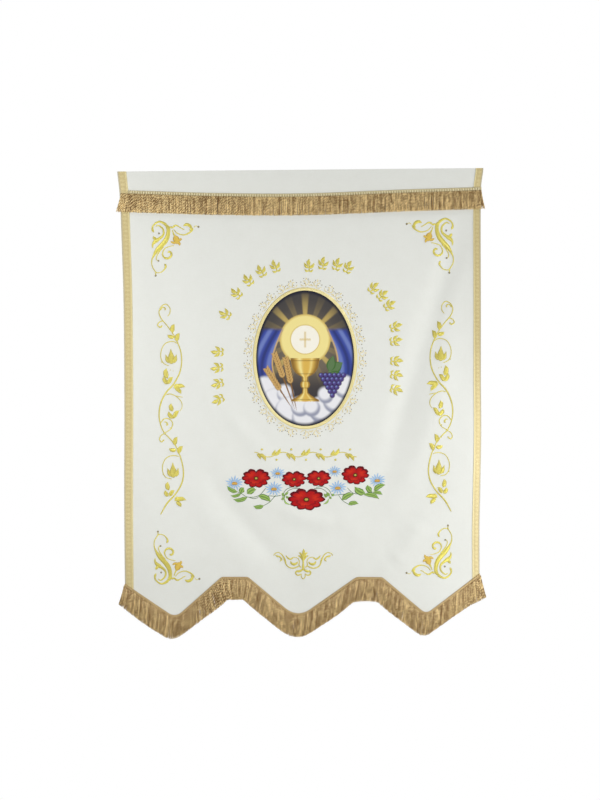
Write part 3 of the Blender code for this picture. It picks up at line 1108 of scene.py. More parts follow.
@dataclass
class Fringe:
    """Braided heading with twisted cords hanging from it."""

    shape: HangingCloth
    palette: Palette
    name: str
    node: str
    line: Callable[[Array], Array]
    ends: Pair
    lean: Stations
    cords: int
    seed: int
    heading_finish: bpy.types.Material
    heading_height: float = 8.0 * MM
    heading_inset: Pair = (0.0, 0.0)
    pillar_share: float = 1.0
    heading_depth: float = 2.2 * MM
    pillar_repeat: float = 5.4 * MM
    reach: Stations = ((-0.385, 0.0467), (0.385, 0.0467))
    shade: float = 0.55
    gather: float = 0.1
    bundle: int = 4
    twist_repeat: float = 12.0 * MM
    cord_radius: float = 1.2 * MM
    cord_rings: int = 13
    cord_sides: int = 6
    crossing_lift: float = 1.1 * MM
    crossing_inset: float = 14.0 * MM
    crossing_fade: float = 8.0 * MM
    column_step: float = 0.75 * MM
    bead_repeat: float = 2.4 * MM
    heading_steps: tuple[float, ...] = (
        0.0, 0.02, 0.07, 0.12, 0.17, 0.22, 0.3, 0.4, 0.55, 0.68, 0.76, 0.82, 0.88, 0.94, 0.99, 1.0,
    )
    unevenness: float = 0.3 * MM
    root_depth: float = 1.2 * MM
    layer_gap: float = 1.1 * MM

    def stations(self, shares: Array) -> tuple[Array, Array, Array]:
        """Places on the heading's upper line and the direction down from it.

        Args:
            shares: Shares of the line's length.

        Returns:
            X, arc length, and unit vectors pointing down across the heading.
        """
        x = np.linspace(*self.ends, 4001)
        lengths = np.concatenate(([0.0], np.cumsum(np.hypot(np.diff(x), np.diff(self.line(x))))))
        places = np.asarray(shares) * lengths[-1]
        x_at = np.interp(places, lengths, x)
        nudge = 1.0 * MM
        slope = (self.line(x_at + nudge) - self.line(x_at - nudge)) / (2.0 * nudge)
        down = np.stack((slope, -np.ones_like(slope)), axis=1)
        return x_at, places, down / np.hypot(*down.T)[:, None]

    def edge_lift(self, x: Array) -> Array:
        """How far the heading stands off where it crosses the side braids."""
        inset = np.minimum(x - self.ends[0], self.ends[1] - x)
        return self.crossing_lift * (1.0 - ease((inset - self.crossing_inset) / self.crossing_fade))

    def build_heading(self) -> bpy.types.Object:
        """Build the heading: upright pillars between two thin braided lines.

        Returns:
            The heading.
        """
        length = self.stations(np.array([1.0]))[1][0]
        first, last = self.heading_inset[0] / length, 1.0 - self.heading_inset[1] / length
        shares = np.linspace(first, last, int(length / self.column_step))
        x, places, down = self.stations(shares)
        steps = np.array(self.heading_steps)
        across = x[:, None] + down[:, :1] * steps * self.heading_height
        up = self.line(x)[:, None] + down[:, 1:] * steps * self.heading_height
        pillar = ease(np.cos(math.tau * places / self.pillar_repeat) * 1.1 + 0.45)[:, None]
        beads = 0.5 + 0.5 * np.cos(math.tau * places / self.bead_repeat)[:, None]
        upper = np.exp(-((steps - 0.10) / 0.07) ** 2)[None, :] * (0.75 + 0.25 * beads)
        lower = np.exp(-((steps - 0.88) / 0.07) ** 2)[None, :] * (0.30 + 0.25 * beads)
        between = ease((steps - 0.14) / 0.08) * ease((0.86 - steps) / 0.08)
        inner = (1.0 - (1.0 - pillar) * self.pillar_share) * between[None, :]
        raised = np.clip(np.maximum(np.maximum(upper, lower), inner), 0.0, 1.0)
        ends = np.minimum(steps, 1.0 - steps)[None, :]
        face = self.shape.face_y(across, up) - self.edge_lift(x)[:, None]
        depth = self.heading_depth * (0.45 + 0.55 * raised) * ease(ends / 0.03 + 0.15)
        front = np.stack((across, face - depth, up), axis=-1)
        back = np.stack((across, face - 0.1 * MM, up), axis=-1)
        # Tone: lighter on the raised pillars and braided lines, with painted shade in the recessed gaps
        # between them; the lightening fades towards the lower edge
        tone = 0.16 + (0.2 + 0.3 * self.pillar_share) * raised * (1.0 - 0.6 * ease((steps - 0.6) / 0.3))
        along, aside = (np.broadcast_to(values, up.shape) for values in (places[:, None], steps))
        thread = np.stack((along, aside, tone), axis=-1)
        draft = MeshDraft()
        draft.add_slab(*(grid.transpose(1, 0, 2) for grid in (front, back, thread)))
        return draft.piece(f"{self.name}_heading", self.heading_finish, "fringe")

    def build_cords(self) -> bpy.types.Object:
        """Build the cords as one piece.

        Returns:
            The cords.
        """
        chance = np.random.default_rng(self.seed)
        jitter = chance.uniform(-0.2, 0.2, self.cords)
        x, places, down = self.stations((np.arange(self.cords) + 0.5 + jitter) / self.cords)
        root_drop = self.heading_height * 0.86
        root_x, root_z = x + down[:, 0] * root_drop, self.line(x) + down[:, 1] * root_drop
        bundles = np.arange(self.cords) // self.bundle
        middles = np.bincount(bundles, root_x) / np.bincount(bundles)
        bundle_tone = chance.normal(0.0, 0.05, len(middles))
        lean = SmoothLine(self.lean)
        lengths = SmoothLine(self.reach)(root_x) - root_drop
        share = np.linspace(0.0, 1.0, self.cord_rings)
        angles = np.linspace(0.0, math.tau, self.cord_sides, endpoint=False)
        draft = MeshDraft()
        for cord, bundle in enumerate(bundles):
            length = lengths[cord] + chance.normal(0.0, 0.4 * MM)
            sway = lean(root_x[cord]) + self.gather * (middles[bundle] - root_x[cord])
            sway = sway + chance.normal(0.0, self.unevenness)
            bow = chance.normal(0.0, self.unevenness)
            radius = self.cord_radius * chance.uniform(0.85, 1.12)
            taper = radius * (0.82 + 0.22 * np.sin(math.pi * share ** 0.7))
            taper = taper * np.where(share > 0.985, 0.55, 1.0)
            line_x = root_x[cord] + sway * share ** 1.3 + bow * np.sin(math.pi * share)
            line_z = root_z[cord] - length * share
            root_y = self.shape.face_y(root_x[cord], root_z[cord]) - self.edge_lift(root_x[cord])
            root_y = root_y - self.root_depth
            depth = (cord % 2) * self.layer_gap + chance.uniform(0.0, 0.5) * MM
            line_y = np.minimum(
                root_y - depth * ease(share / 0.3),
                self.shape.face_y(line_x, line_z) - self.edge_lift(line_x) - taper - 0.3 * MM,
            )
            start = chance.uniform(0.0, self.twist_repeat)
            along = start + share * length * chance.uniform(0.75, 1.35)
            twist = math.tau * along / self.twist_repeat
            lobe = 1.0 + 0.16 * np.cos(2.0 * (angles[None, :] - twist[:, None]))
            ring_x = line_x[:, None] + taper[:, None] * lobe * np.cos(angles)[None, :]
            ring_y = line_y[:, None] + taper[:, None] * lobe * np.sin(angles)[None, :]
            ring_z = np.broadcast_to(line_z[:, None], ring_x.shape)
            # Tone: random per cord, bundle and patch, with painted shade darkening each cord just below the
            # heading; it also grows darker downwards and lighter at the cut tips
            tone = self.shade + bundle_tone[bundle] + chance.normal(0.0, 0.16) - 0.16 * (1.0 - share) ** 3
            patches = np.sin(math.tau * (chance.uniform(1.5, 3.5) * share + chance.uniform(0.0, 1.0)))
            tone = tone + 0.13 * patches - 0.10 * share + 0.25 * ease((share - 0.85) / 0.15)
            thread = np.stack((
                np.broadcast_to(along[:, None], ring_x.shape),
                np.broadcast_to(np.cos(angles), ring_x.shape),
                np.broadcast_to(tone[:, None], ring_x.shape),
            ), axis=-1)
            draft.add_tube(np.stack((ring_x, ring_y, ring_z), axis=-1), thread)
        return draft.piece(f"{self.name}_cords", self.palette.fringe, "fringe", self.node)


@dataclass
class Print:
    """A picture on the medallion, painted in layers over places given in millimetres from its middle."""

    x: Array
    z: Array
    colour: Array = field(init=False)

    def __post_init__(self) -> None:
        """Start with a bare ground."""
        self.colour = np.zeros((*self.x.shape, 3))

    def lay(self, mask: Array, hue: Hue) -> None:
        """Lay a colour where a mask is above nothing.

        Args:
            mask: 0 to 1 at each place.
            hue: The colour.
        """
        share = np.clip(mask, 0.0, 1.0)[..., None]
        self.colour = self.colour * (1.0 - share) + hue.linear * share

    def disc(self, centre: Pair, radius: float, soft: float = 1.2) -> Array:
        """Mask of a round spot.

        Args:
            centre: Its middle.
            radius: Its radius.
            soft: Width of its edge.

        Returns:
            The mask.
        """
        return ease((radius - np.hypot(self.x - centre[0], self.z - centre[1])) / soft + 0.5)

    def leaf(self, foot: Pair, tip: Pair, width: float) -> Array:
        """Mask of a pointed leaf or grain.

        Args:
            foot: Where it starts.
            tip: Where it ends.
            width: Its greatest width.

        Returns:
            The mask.
        """
        across, up = tip[0] - foot[0], tip[1] - foot[1]
        length = math.hypot(across, up)
        along = ((self.x - foot[0]) * across + (self.z - foot[1]) * up) / length
        off = ((self.x - foot[0]) * up - (self.z - foot[1]) * across) / length
        share = np.clip(along / length, 0.0, 1.0)
        half = width / 2.0 * np.sin(math.pi * share ** 0.8)
        return ease((half - np.abs(off)) / 0.9 + 0.5) * (along > 0.0) * (along < length)

    def turned(self, profile: Stations) -> tuple[Array, Array]:
        """Mask and side place of a turned vessel that stands on the picture's middle line.

        Args:
            profile: Its half width at each height.

        Returns:
            The mask, and the place from -1 at its left edge to 1 at its right.
        """
        heights, halves = np.array(profile).T
        half = np.interp(self.z, heights, halves, left=0.0, right=0.0)
        return ease((half - np.abs(self.x)) / 1.2 + 0.5) * (half > 0.0), self.x / np.maximum(half, 1e-6)


@dataclass
class Medallion:
    """Oval patch of printed satin inside a raised satin-stitched rim."""

    shape: HangingCloth
    palette: Palette
    centre: Pair = (0.0096, -0.401)
    half_size: Pair = (0.111, 0.151)
    print_size: Pair = (104.5, 144.5)
    rim_width: float = 7.6 * MM
    rings: int = 100
    sides: int = 360
    rim_sides: int = 540
    rim_relief: float = 1.4 * MM
    chalice: Stations = (
        (-92.0, 30.0), (-88.0, 29.0), (-82.0, 17.0), (-74.0, 6.5), (-64.0, 5.0), (-61.0, 9.0), (-56.0, 10.5),
        (-51.0, 9.0), (-48.0, 5.0), (-40.0, 6.0), (-36.0, 14.0), (-30.0, 21.0), (-20.0, 27.0), (-6.0, 30.0),
        (0.0, 31.0),
    )
    host_centre: Pair = (0.0, 40.0)
    host_radius: float = 30.0
    cloud_spots: tuple[tuple[float, float, float], ...] = (
        (-84.0, -66.0, 26.0), (-64.0, -92.0, 28.0), (-42.0, -76.0, 18.0), (-34.0, -112.0, 30.0),
        (0.0, -126.0, 28.0), (36.0, -110.0, 28.0), (66.0, -90.0, 28.0), (44.0, -80.0, 16.0),
        (86.0, -62.0, 24.0), (-10.0, -104.0, 20.0), (14.0, -106.0, 18.0),
    )

    def paint(self, across: Array, up: Array) -> Array:
        """Paint the picture: a cup under a radiant disc, with drapes, wheat, grapes and clouds.

        Args:
            across: Places across, in millimetres from the middle.
            up: Places up, in millimetres from the middle.

        Returns:
            Linear colour at each place.
        """
        picture = Print(across, up)
        far = np.hypot(across / self.print_size[0], up / self.print_size[1])
        self.paint_ground(picture, far)
        self.paint_drapes(picture)
        self.paint_clouds(picture)
        self.paint_harvest(picture)
        self.paint_cup(picture)
        picture.lay(ease((far - 0.93) / 0.06), Hue.NIGHT)
        return picture.colour

    def paint_ground(self, picture: Print, far: Array) -> None:
        """Paint the smoky ground, the rays and the radiant disc.

        Args:
            picture: The picture.
            far: Distance from the middle, as a share of the oval.
        """
        picture.lay(np.ones_like(far), Hue.SMOKE)
        picture.lay(ease((far - 0.35) / 0.6) * 0.9, Hue.CHARCOAL)
        picture.lay(ease((-picture.z - 10.0) / 60.0) * 0.7, Hue.NIGHT)
        x, z = picture.x - self.host_centre[0], picture.z - self.host_centre[1]
        angle, distance = np.arctan2(z, x), np.hypot(x, z)
        beams = ease(np.cos(angle * 16.0) * 1.4 + 0.1) * (0.6 + 0.4 * np.cos(angle * 8.0))
        picture.lay(beams * ease((112.0 - distance) / 60.0) * 0.75, Hue.GLOW)
        picture.lay(picture.disc(self.host_centre, 54.0, 2.0), Hue.GLOW)
        picture.lay(picture.disc(self.host_centre, 51.0, 6.0), Hue.RADIANCE)
        picture.lay(picture.disc(self.host_centre, self.host_radius + 2.0, 2.0) * 0.8, Hue.GLOW)
        picture.lay(picture.disc(self.host_centre, self.host_radius), Hue.HOST)
        for width, height in ((2.2, 17.0), (12.0, 2.2)):
            bar = ease((width - np.abs(x)) / 1.0 + 0.5) * ease((height - np.abs(z)) / 1.0 + 0.5)
            picture.lay(bar * 0.6, Hue.GLOW)

    def paint_drapes(self, picture: Print) -> None:
        """Paint blue drapes that hang at both sides."""
        for side in (-1.0, 1.0):
            x = picture.x * side
            edge = 44.0 + 26.0 * np.cos((picture.z + 20.0) / 46.0) + 0.12 * picture.z
            mask = ease((x - edge) / 1.5 + 0.5) * ease((66.0 - picture.z) / 10.0)
            pleats = 0.5 + 0.5 * np.sin((x - edge) / 4.6 + picture.z / 31.0)
            picture.lay(mask, Hue.ROYAL_BLUE)
            picture.lay(mask * ease(pleats * 1.3 - 0.5) * 0.75, Hue.SKY_BLUE)
            picture.lay(mask * ease(0.55 - pleats * 1.4) * 0.85, Hue.NIGHT)
            picture.lay(mask * ease((edge + 4.0 - x) / 1.5) * 0.8, Hue.CHALICE)

    def paint_clouds(self, picture: Print) -> None:
        """Paint pale clouds along the foot of the picture."""
        for x, z, radius in self.cloud_spots:
            picture.lay(picture.disc((x, z), radius, 5.0), Hue.CLOUD_SHADE)
            picture.lay(picture.disc((x - 2.0, z + 5.0), radius * 0.84, 9.0), Hue.CLOUD)

    def paint_harvest(self, picture: Print) -> None:
        """Paint ears of wheat on the left and a bunch of grapes with a leaf on the right."""
        for foot, tip in (((-22.0, -108.0), (-66.0, 12.0)), ((-18.0, -112.0), (-42.0, 2.0)),
                          ((-28.0, -106.0), (-84.0, -20.0))):
            across, up = tip[0] - foot[0], tip[1] - foot[1]
            length = math.hypot(across, up)
            unit = (across / length, up / length)
            picture.lay(picture.leaf(foot, tip, 3.0), Hue.WHEAT_DEEP)
            for grain in range(9):
                place = length - 8.0 - grain * 6.0
                for side in (-1.0, 1.0):
                    base = (foot[0] + unit[0] * place, foot[1] + unit[1] * place)
                    end = (base[0] + unit[0] * 10.0 - side * unit[1] * 6.5,
                           base[1] + unit[1] * 10.0 + side * unit[0] * 6.5)
                    picture.lay(picture.leaf(base, end, 6.4), Hue.WHEAT_DEEP)
                    picture.lay(picture.leaf(base, end, 4.4), Hue.WHEAT)
        for foot, tip, width in (((50.0, -30.0), (80.0, -8.0), 26.0), ((52.0, -28.0), (60.0, 6.0), 20.0),
                                 ((50.0, -34.0), (82.0, -38.0), 18.0)):
            picture.lay(picture.leaf(foot, tip, width), Hue.LEAF_DEEP)
            picture.lay(picture.leaf(foot, tip, width * 0.7), Hue.VINE_LEAF)
        for row in range(6):
            for place in range(6 - row):
                centre = (34.0 + place * 9.6 + row * 4.8, -36.0 - row * 8.6)
                picture.lay(picture.disc(centre, 5.6), Hue.NIGHT)
                picture.lay(picture.disc(centre, 4.7), Hue.GRAPE)
                picture.lay(picture.disc((centre[0] - 1.5, centre[1] + 1.7), 1.7, 2.4), Hue.SKY_BLUE)

    def paint_cup(self, picture: Print) -> None:
        """Paint the golden cup."""
        mask, side = picture.turned(self.chalice)
        picture.lay(mask, Hue.CHALICE)
        picture.lay(mask * ease((np.abs(side) - 0.45) / 0.5) * 0.85, Hue.CHALICE_DEEP)
        picture.lay(mask * np.exp(-((side + 0.38) / 0.16) ** 2), Hue.RADIANCE)
        picture.lay(mask * np.exp(-((side - 0.45) / 0.10) ** 2) * 0.6, Hue.RADIANCE)
        for height in (-5.0, -33.0, -49.0, -63.0, -88.0):
            picture.lay(mask * np.exp(-((picture.z - height) / 0.9) ** 2) * 0.7, Hue.CHALICE_DEEP)

    def build(self) -> list[bpy.types.Object]:
        """Build the printed patch and its rim.

        Returns:
            The patch and the rim.
        """
        reach = np.linspace(1.0, 0.004, self.rings)[:, None]
        angle = np.linspace(0.0, math.tau, self.sides, endpoint=False)[None, :]
        half = [size * (self.half_size[0] - 2.0 * MM) / self.half_size[0] for size in self.half_size]
        x = self.centre[0] + half[0] * reach * np.cos(angle)
        z = self.centre[1] + half[1] * reach * np.sin(angle)
        tint = self.paint((x - self.centre[0]) / MM, (z - self.centre[1]) / MM)
        face = self.shape.face_y(x, z)
        front, back = (np.stack((x, face - depth, z), axis=-1) for depth in (1.2 * MM, 0.2 * MM))
        draft = MeshDraft()
        draft.add_disc(front, back, np.zeros(3), tint)
        patch = draft.piece("printed_satin_oval", self.palette.print, "satin", "medallion")
        return [patch, self.build_rim()]

    def build_rim(self) -> bpy.types.Object:
        """Build the rim: one closed run of wide satin stitch over the patch's edge.

        Returns:
            The rim.
        """
        angle = np.linspace(0.0, math.tau, self.rim_sides, endpoint=False)
        across, rise = np.array(Needle(self.shape).section).T
        middle = [size - self.rim_width / 2.0 for size in self.half_size]
        line = np.stack((middle[0] * np.cos(angle), middle[1] * np.sin(angle)), axis=1)
        outward = np.stack((middle[1] * np.cos(angle), middle[0] * np.sin(angle)), axis=1)
        outward /= np.hypot(*outward.T)[:, None]
        place = line[:, None, :] + outward[:, None, :] * (across * self.rim_width / 2.0)[None, :, None]
        x, z = self.centre[0] + place[..., 0], self.centre[1] + place[..., 1]
        y = self.shape.face_y(x, z) - 0.5 * MM - self.rim_relief * np.maximum(rise, -0.1)
        lengths = np.concatenate(([0.0], np.cumsum(np.hypot(*np.diff(line, axis=0).T))))
        # Tone: painted sheen that follows the stitch direction round the oval, and painted shade darkening
        # the rim's rounded sides
        tone = 0.70 + 0.10 * np.cos(2.0 * (angle[:, None] - 0.9)) - 0.2 * across[None, :] ** 4
        along, aside = np.broadcast_to(lengths[:, None], x.shape), np.broadcast_to(across, x.shape)
        thread = np.stack((along, aside, tone), axis=-1)
        draft = MeshDraft()
        numbers = draft.add_points(np.stack((x, y, z), axis=-1), thread)
        closed = np.vstack((numbers, numbers[:1]))
        draft.add_faces(closed, wrap=True)
        return draft.piece("medallion_rim", self.palette.rim, "braid")


@dataclass
class LeafyRing:
    """Small sprigs of pale gold leaves round the medallion."""

    shape: HangingCloth
    palette: Palette
    centre: Pair = (0.0096, -0.401)
    half_size: Pair = (0.113, 0.153)
    sprigs: int = 34
    strokes: tuple[Stroke, ...] = (
        Stroke(((0, 0), (1.5, 4), (0, 9), (-2.5, 12), (-5, 10.5)), (1.7, 1.7, 1.8, 2.0, 1.5)),
        Stroke(((1, 3), (5, 4), (8.5, 8), (7.5, 12), (4.5, 12)), (1.5, 1.6, 1.9, 2.0, 1.4)),
        Stroke(((-1, 1), (-6, 1.5), (-9.5, 5)), (1.4, 1.7, 1.6)),
        Stroke(((1, 13), (2.5, 16), (1.5, 19)), (1.2, 2.9, 1.0)),
        Stroke(((7.5, 3), (11, 2.5), (13, 5)), (1.2, 2.6, 1.0)),
    )
    berries: Stations = ((-3.0, 17.0), (6.5, 15.5), (-9.0, 9.5), (-1.5, 6.0), (11.5, 9.5))

    def build(self) -> list[bpy.types.Object]:
        """Build the sprigs and their berries.

        Returns:
            The leaves and the berries.
        """
        leaves, berries = Needle(self.shape), Needle(self.shape)
        sides = np.linspace(0.0, math.tau, 2001)
        lengths = np.concatenate(([0.0], np.cumsum(np.hypot(
            np.diff(self.half_size[0] * np.cos(sides)), np.diff(self.half_size[1] * np.sin(sides)),
        ))))
        for sprig in range(self.sprigs):
            side = float(np.interp((sprig + 0.5) / self.sprigs * lengths[-1], lengths, sides))
            x = self.centre[0] + self.half_size[0] * math.cos(side)
            z = self.centre[1] + self.half_size[1] * math.sin(side)
            outward = math.atan2(self.half_size[0] * math.sin(side), self.half_size[1] * math.cos(side))
            placing = Placing(x, z, mirror=sprig % 2 == 1, turn=outward - math.pi / 2.0)
            for stroke in self.strokes:
                leaves.stroke(stroke, placing, tone=0.62)
            for berry in self.berries:
                berries.dot(berry, 2.2, placing, tone=0.35)
        return [
            leaves.draft.piece("leafy_ring_sprigs", self.palette.pale_gold, "braid"),
            berries.draft.piece("leafy_ring_berries", self.palette.berry, "braid"),
        ]


@dataclass
class CornerScroll:
    """Gold scroll with a flower, in one corner of the field."""

    shape: HangingCloth
    palette: Palette
    name: str
    placing: Placing
    strokes: tuple[Stroke, ...] = (
        Stroke(((32, -8), (36, -14), (37, -22), (35, -33), (30, -43), (23, -51), (16, -58), (10, -66),
                (6, -73), (2.5, -81), (1.5, -89), (3, -97), (7, -104), (10, -109), (10, -116)),
               (6.0, 6.8, 7.2, 8.2, 9.4, 9.0, 8.4, 6.6, 4.0, 2.4, 1.9, 1.9, 2.0, 2.2, 1.8)),
        Stroke(((33, -9), (27, -4), (19, -1), (12, -3), (6, -8), (3, -14), (4, -20), (6, -24)),
               (6.4, 4.6, 3.6, 3.4, 3.0, 3.4, 4.4, 2.0)),
        Stroke(((4, -58), (3.5, -51), (7, -45), (12, -41), (18, -37), (24, -32), (27, -26), (26, -18),
                (21, -12), (15, -9), (10, -12)), (1.6, 3.6, 6.4, 8.0, 5.4, 4.6, 3.8, 3.4, 3.0, 2.4, 1.6)),
        Stroke(((5, -32), (7, -36), (11, -40)), (2.6, 5.8, 5.2)),
        Stroke(((14, -85), (11.5, -80), (13, -73), (17, -66), (21, -60), (26, -54)),
               (1.8, 1.7, 1.8, 2.4, 3.2, 4.2)),
        Stroke(((9, -108), (15, -110), (23, -108), (29, -102), (31.5, -96), (29, -91)),
               (1.7, 1.7, 1.9, 2.7, 4.0, 3.4)),
        Stroke(((49, -52), (43, -53), (36, -55), (30, -58), (26, -64), (24.5, -70), (27, -76), (32, -79),
                (38, -78.5), (43, -74), (43, -68), (39, -65), (35.5, -67)),
               (1.6, 1.5, 1.7, 1.9, 2.1, 2.7, 3.4, 4.0, 4.2, 4.0, 3.8, 4.4, 2.8)),
        Stroke(((45, -18), (47, -24), (50, -31)), (1.7, 2.1, 4.0)),
        Stroke(((48, -17), (54, -24), (62, -28), (71, -29), (79, -26), (86, -21), (90, -15)),
               (1.6, 1.8, 2.0, 2.4, 3.0, 3.4, 2.4)),
        Stroke(((82, -20), (85.5, -15), (81.5, -9), (75, -7), (69, -10)), (2.2, 4.8, 6.0, 5.6, 2.2)),
        Stroke(((45, -15), (49, -10.5), (54, -9), (60, -12), (66, -16), (71, -18)),
               (2.4, 3.6, 3.0, 2.0, 1.8, 2.0)),
        Stroke(((91, -13), (95, -10), (99, -11)), (1.3, 1.3, 1.5)),
        Stroke(((39, -12), (43, -13), (46, -15)), (3.4, 3.8, 2.4)),
    )
    flower: tuple[Stroke, ...] = (
        Stroke(((50, -30), (53, -37), (55, -44), (56, -49)), (4.6, 12.0, 10.5, 4.0)),
        Stroke(((54, -44), (48, -46), (42, -43)), (5.4, 4.6, 2.6)),
        Stroke(((56, -44), (60, -47), (61, -52)), (5.8, 4.8, 2.8)),
        Stroke(((55, -40), (61, -40), (65, -36.5)), (6.2, 4.8, 3.6)),
    )
    dots: tuple[tuple[float, float, float], ...] = (
        (17.0, -26.0, 4.0), (16.0, -84.5, 3.8), (10.0, -116.0, 4.2), (101.0, -12.0, 4.4),
    )

    def build(self) -> list[bpy.types.Object]:
        """Build the scroll and its flower.

        Returns:
            The scroll and the flower.
        """
        needle, flower = Needle(self.shape), Needle(self.shape)
        for stroke in self.strokes:
            needle.stroke(stroke, self.placing, tone=0.66)
        for stroke in self.flower:
            flower.stroke(stroke, self.placing, lift=0.3 * MM, tints=(Hue.OLD_GOLD, Hue.OLD_GOLD_DEEP))
        for x, z, width in self.dots:
            flower.dot((x, z), width, self.placing, tints=(Hue.BERRY, Hue.BERRY_DEEP))
        return [
            needle.draft.piece(f"corner_scroll_{self.name}", self.palette.gold, "braid"),
            flower.draft.piece(f"corner_flower_{self.name}", self.palette.floss, "braid"),
        ]


@dataclass
class SideVine:
    """Tall winding gold vine with tulips and small leaves."""

    shape: HangingCloth
    palette: Palette
    name: str
    placing: Placing
    stems: tuple[Stroke, ...] = (
        Stroke(((5, -58), (12, -69), (19, -84), (25, -103), (26, -125), (21, -147), (9, -169), (-7, -187),
                (-18, -209), (-22, -233), (-19, -254), (-11, -272), (2, -286), (13, -300), (21, -317),
                (27, -337), (30, -359), (26, -381), (13, -403), (-5, -423), (-19, -447)),
               (2.2, 2.5, 2.5, 2.5, 2.5, 2.8, 3.1, 3.4, 3.1, 2.8, 2.5, 2.5, 2.5, 2.5, 2.5, 2.8, 2.8, 3.1, 3.1,
                3.4, 2.2)),
        Stroke(((5, -58), (-6, -43), (-17, -30), (-22, -16), (-17, -4), (-7, 1), (1, -7), (1, -18),
                (-4, -25)),
               (2.2, 2.2, 2.2, 2.2, 2.2, 2.2, 1.9, 1.9, 1.6)),
        Stroke(((-19, -12), (-15, -6), (-9, -7), (-9, -12)), (2.2, 2.2, 2.5, 3.7)),
        Stroke(((-12, -34), (-21, -37), (-25, -44), (-19, -48), (-15, -44)), (1.9, 2.2, 2.5, 3.1, 3.7)),
        Stroke(((18, -83), (6, -78), (-9, -83), (-17, -97), (-18, -113), (-12, -125), (-1, -130)),
               (1.9, 1.9, 1.9, 1.9, 1.9, 1.9, 1.6)),
        Stroke(((-7, -192), (2, -190), (14, -195), (25, -206), (27, -218), (22, -227)),
               (1.9, 1.9, 1.9, 1.9, 1.6, 1.2)),
        Stroke(((11, -194), (19, -195), (29, -197)), (1.2, 1.6, 1.2)),
        Stroke(((-19, -252), (-11, -243), (-1, -243), (7, -252), (4, -263), (-3, -269), (-10, -273)),
               (2.2, 2.2, 2.2, 2.2, 2.2, 1.9, 1.9)),
        Stroke(((-12, -250), (-7, -250), (-4, -255), (-7, -257)), (1.6, 2.5, 3.7, 3.1)),
        Stroke(((-8, -273), (-17, -278), (-21, -286), (-17, -292), (-11, -287)), (1.9, 2.2, 2.2, 2.5, 3.1)),
        Stroke(((20, -323), (8, -321), (-6, -326), (-14, -340), (-14, -356), (-8, -367), (5, -371)),
               (1.9, 1.9, 1.9, 1.9, 1.9, 1.9, 1.6)),
    )
    leaves: tuple[tuple[Pair, Pair, float], ...] = (
        ((7, -60), (11, -41), 6.2), ((11, -69), (-4, -64), 5.6), ((16, -79), (22, -60), 6.2),
        ((-4, -157), (-6, -135), 6.9), ((-3, -169), (-12, -152), 5.8), ((-2, -169), (8, -154), 5.8),
        ((9, -177), (34, -175), 6.2), ((11, -177), (25, -190), 5.6), ((10, -176), (19, -169), 3.2),
        ((7, -227), (4, -210), 6.2), ((9, -242), (-2, -227), 5.8), ((10, -242), (21, -225), 5.8),
        ((12, -300), (17, -281), 6.2), ((15, -309), (-1, -306), 5.6), ((19, -317), (29, -301), 6.2),
        ((-1, -395), (-3, -377), 6.2), ((-2, -408), (-9, -395), 5.6), ((1, -408), (11, -395), 5.6),
        ((11, -417), (36, -416), 6.2), ((14, -420), (25, -431), 5.6), ((12, -416), (19, -409), 3.2),
    )
    tulips: Stations = ((4.0, -125.0), (8.0, -367.0))
    tulip: tuple[Stroke, ...] = (
        Stroke(((-3, 2), (-8, 8), (-12, 19)), (8.0, 8.6, 1.6)),
        Stroke(((3, 2), (8, 8), (11, 19)), (8.0, 8.6, 1.6)),
        Stroke(((0, -1), (0, 12), (-1, 31)), (11.0, 13.4, 1.8)),
    )
    dots: tuple[tuple[float, float, float], ...] = (
        (-16.0, -122.0, 3.2), (2.0, -139.0, 2.2), (8.0, -141.0, 1.8), (2.0, -262.0, 2.4),
        (-13.0, -361.0, 3.0),
    )

    def build(self) -> bpy.types.Object:
        """Build the vine.

        Returns:
            The vine.
        """
        needle = Needle(self.shape)
        for stroke in self.stems:
            needle.stroke(stroke, self.placing, tone=0.6)
        for foot, tip, width in self.leaves:
            needle.leaf(foot, tip, width * 1.65, self.placing, tone=0.62, lift=0.15 * MM)
        for x, z in self.tulips:
            shift = np.array((x, z))
            for stroke in self.tulip:
                moved = Stroke(tuple(map(tuple, np.array(stroke.points) + shift)), stroke.widths)
                needle.stroke(moved, self.placing, tone=0.56, lift=0.2 * MM)
        for x, z, width in self.dots:
            needle.dot((x, z), width, self.placing, tone=0.45)
        return needle.draft.piece(self.name, self.palette.gold, "braid")


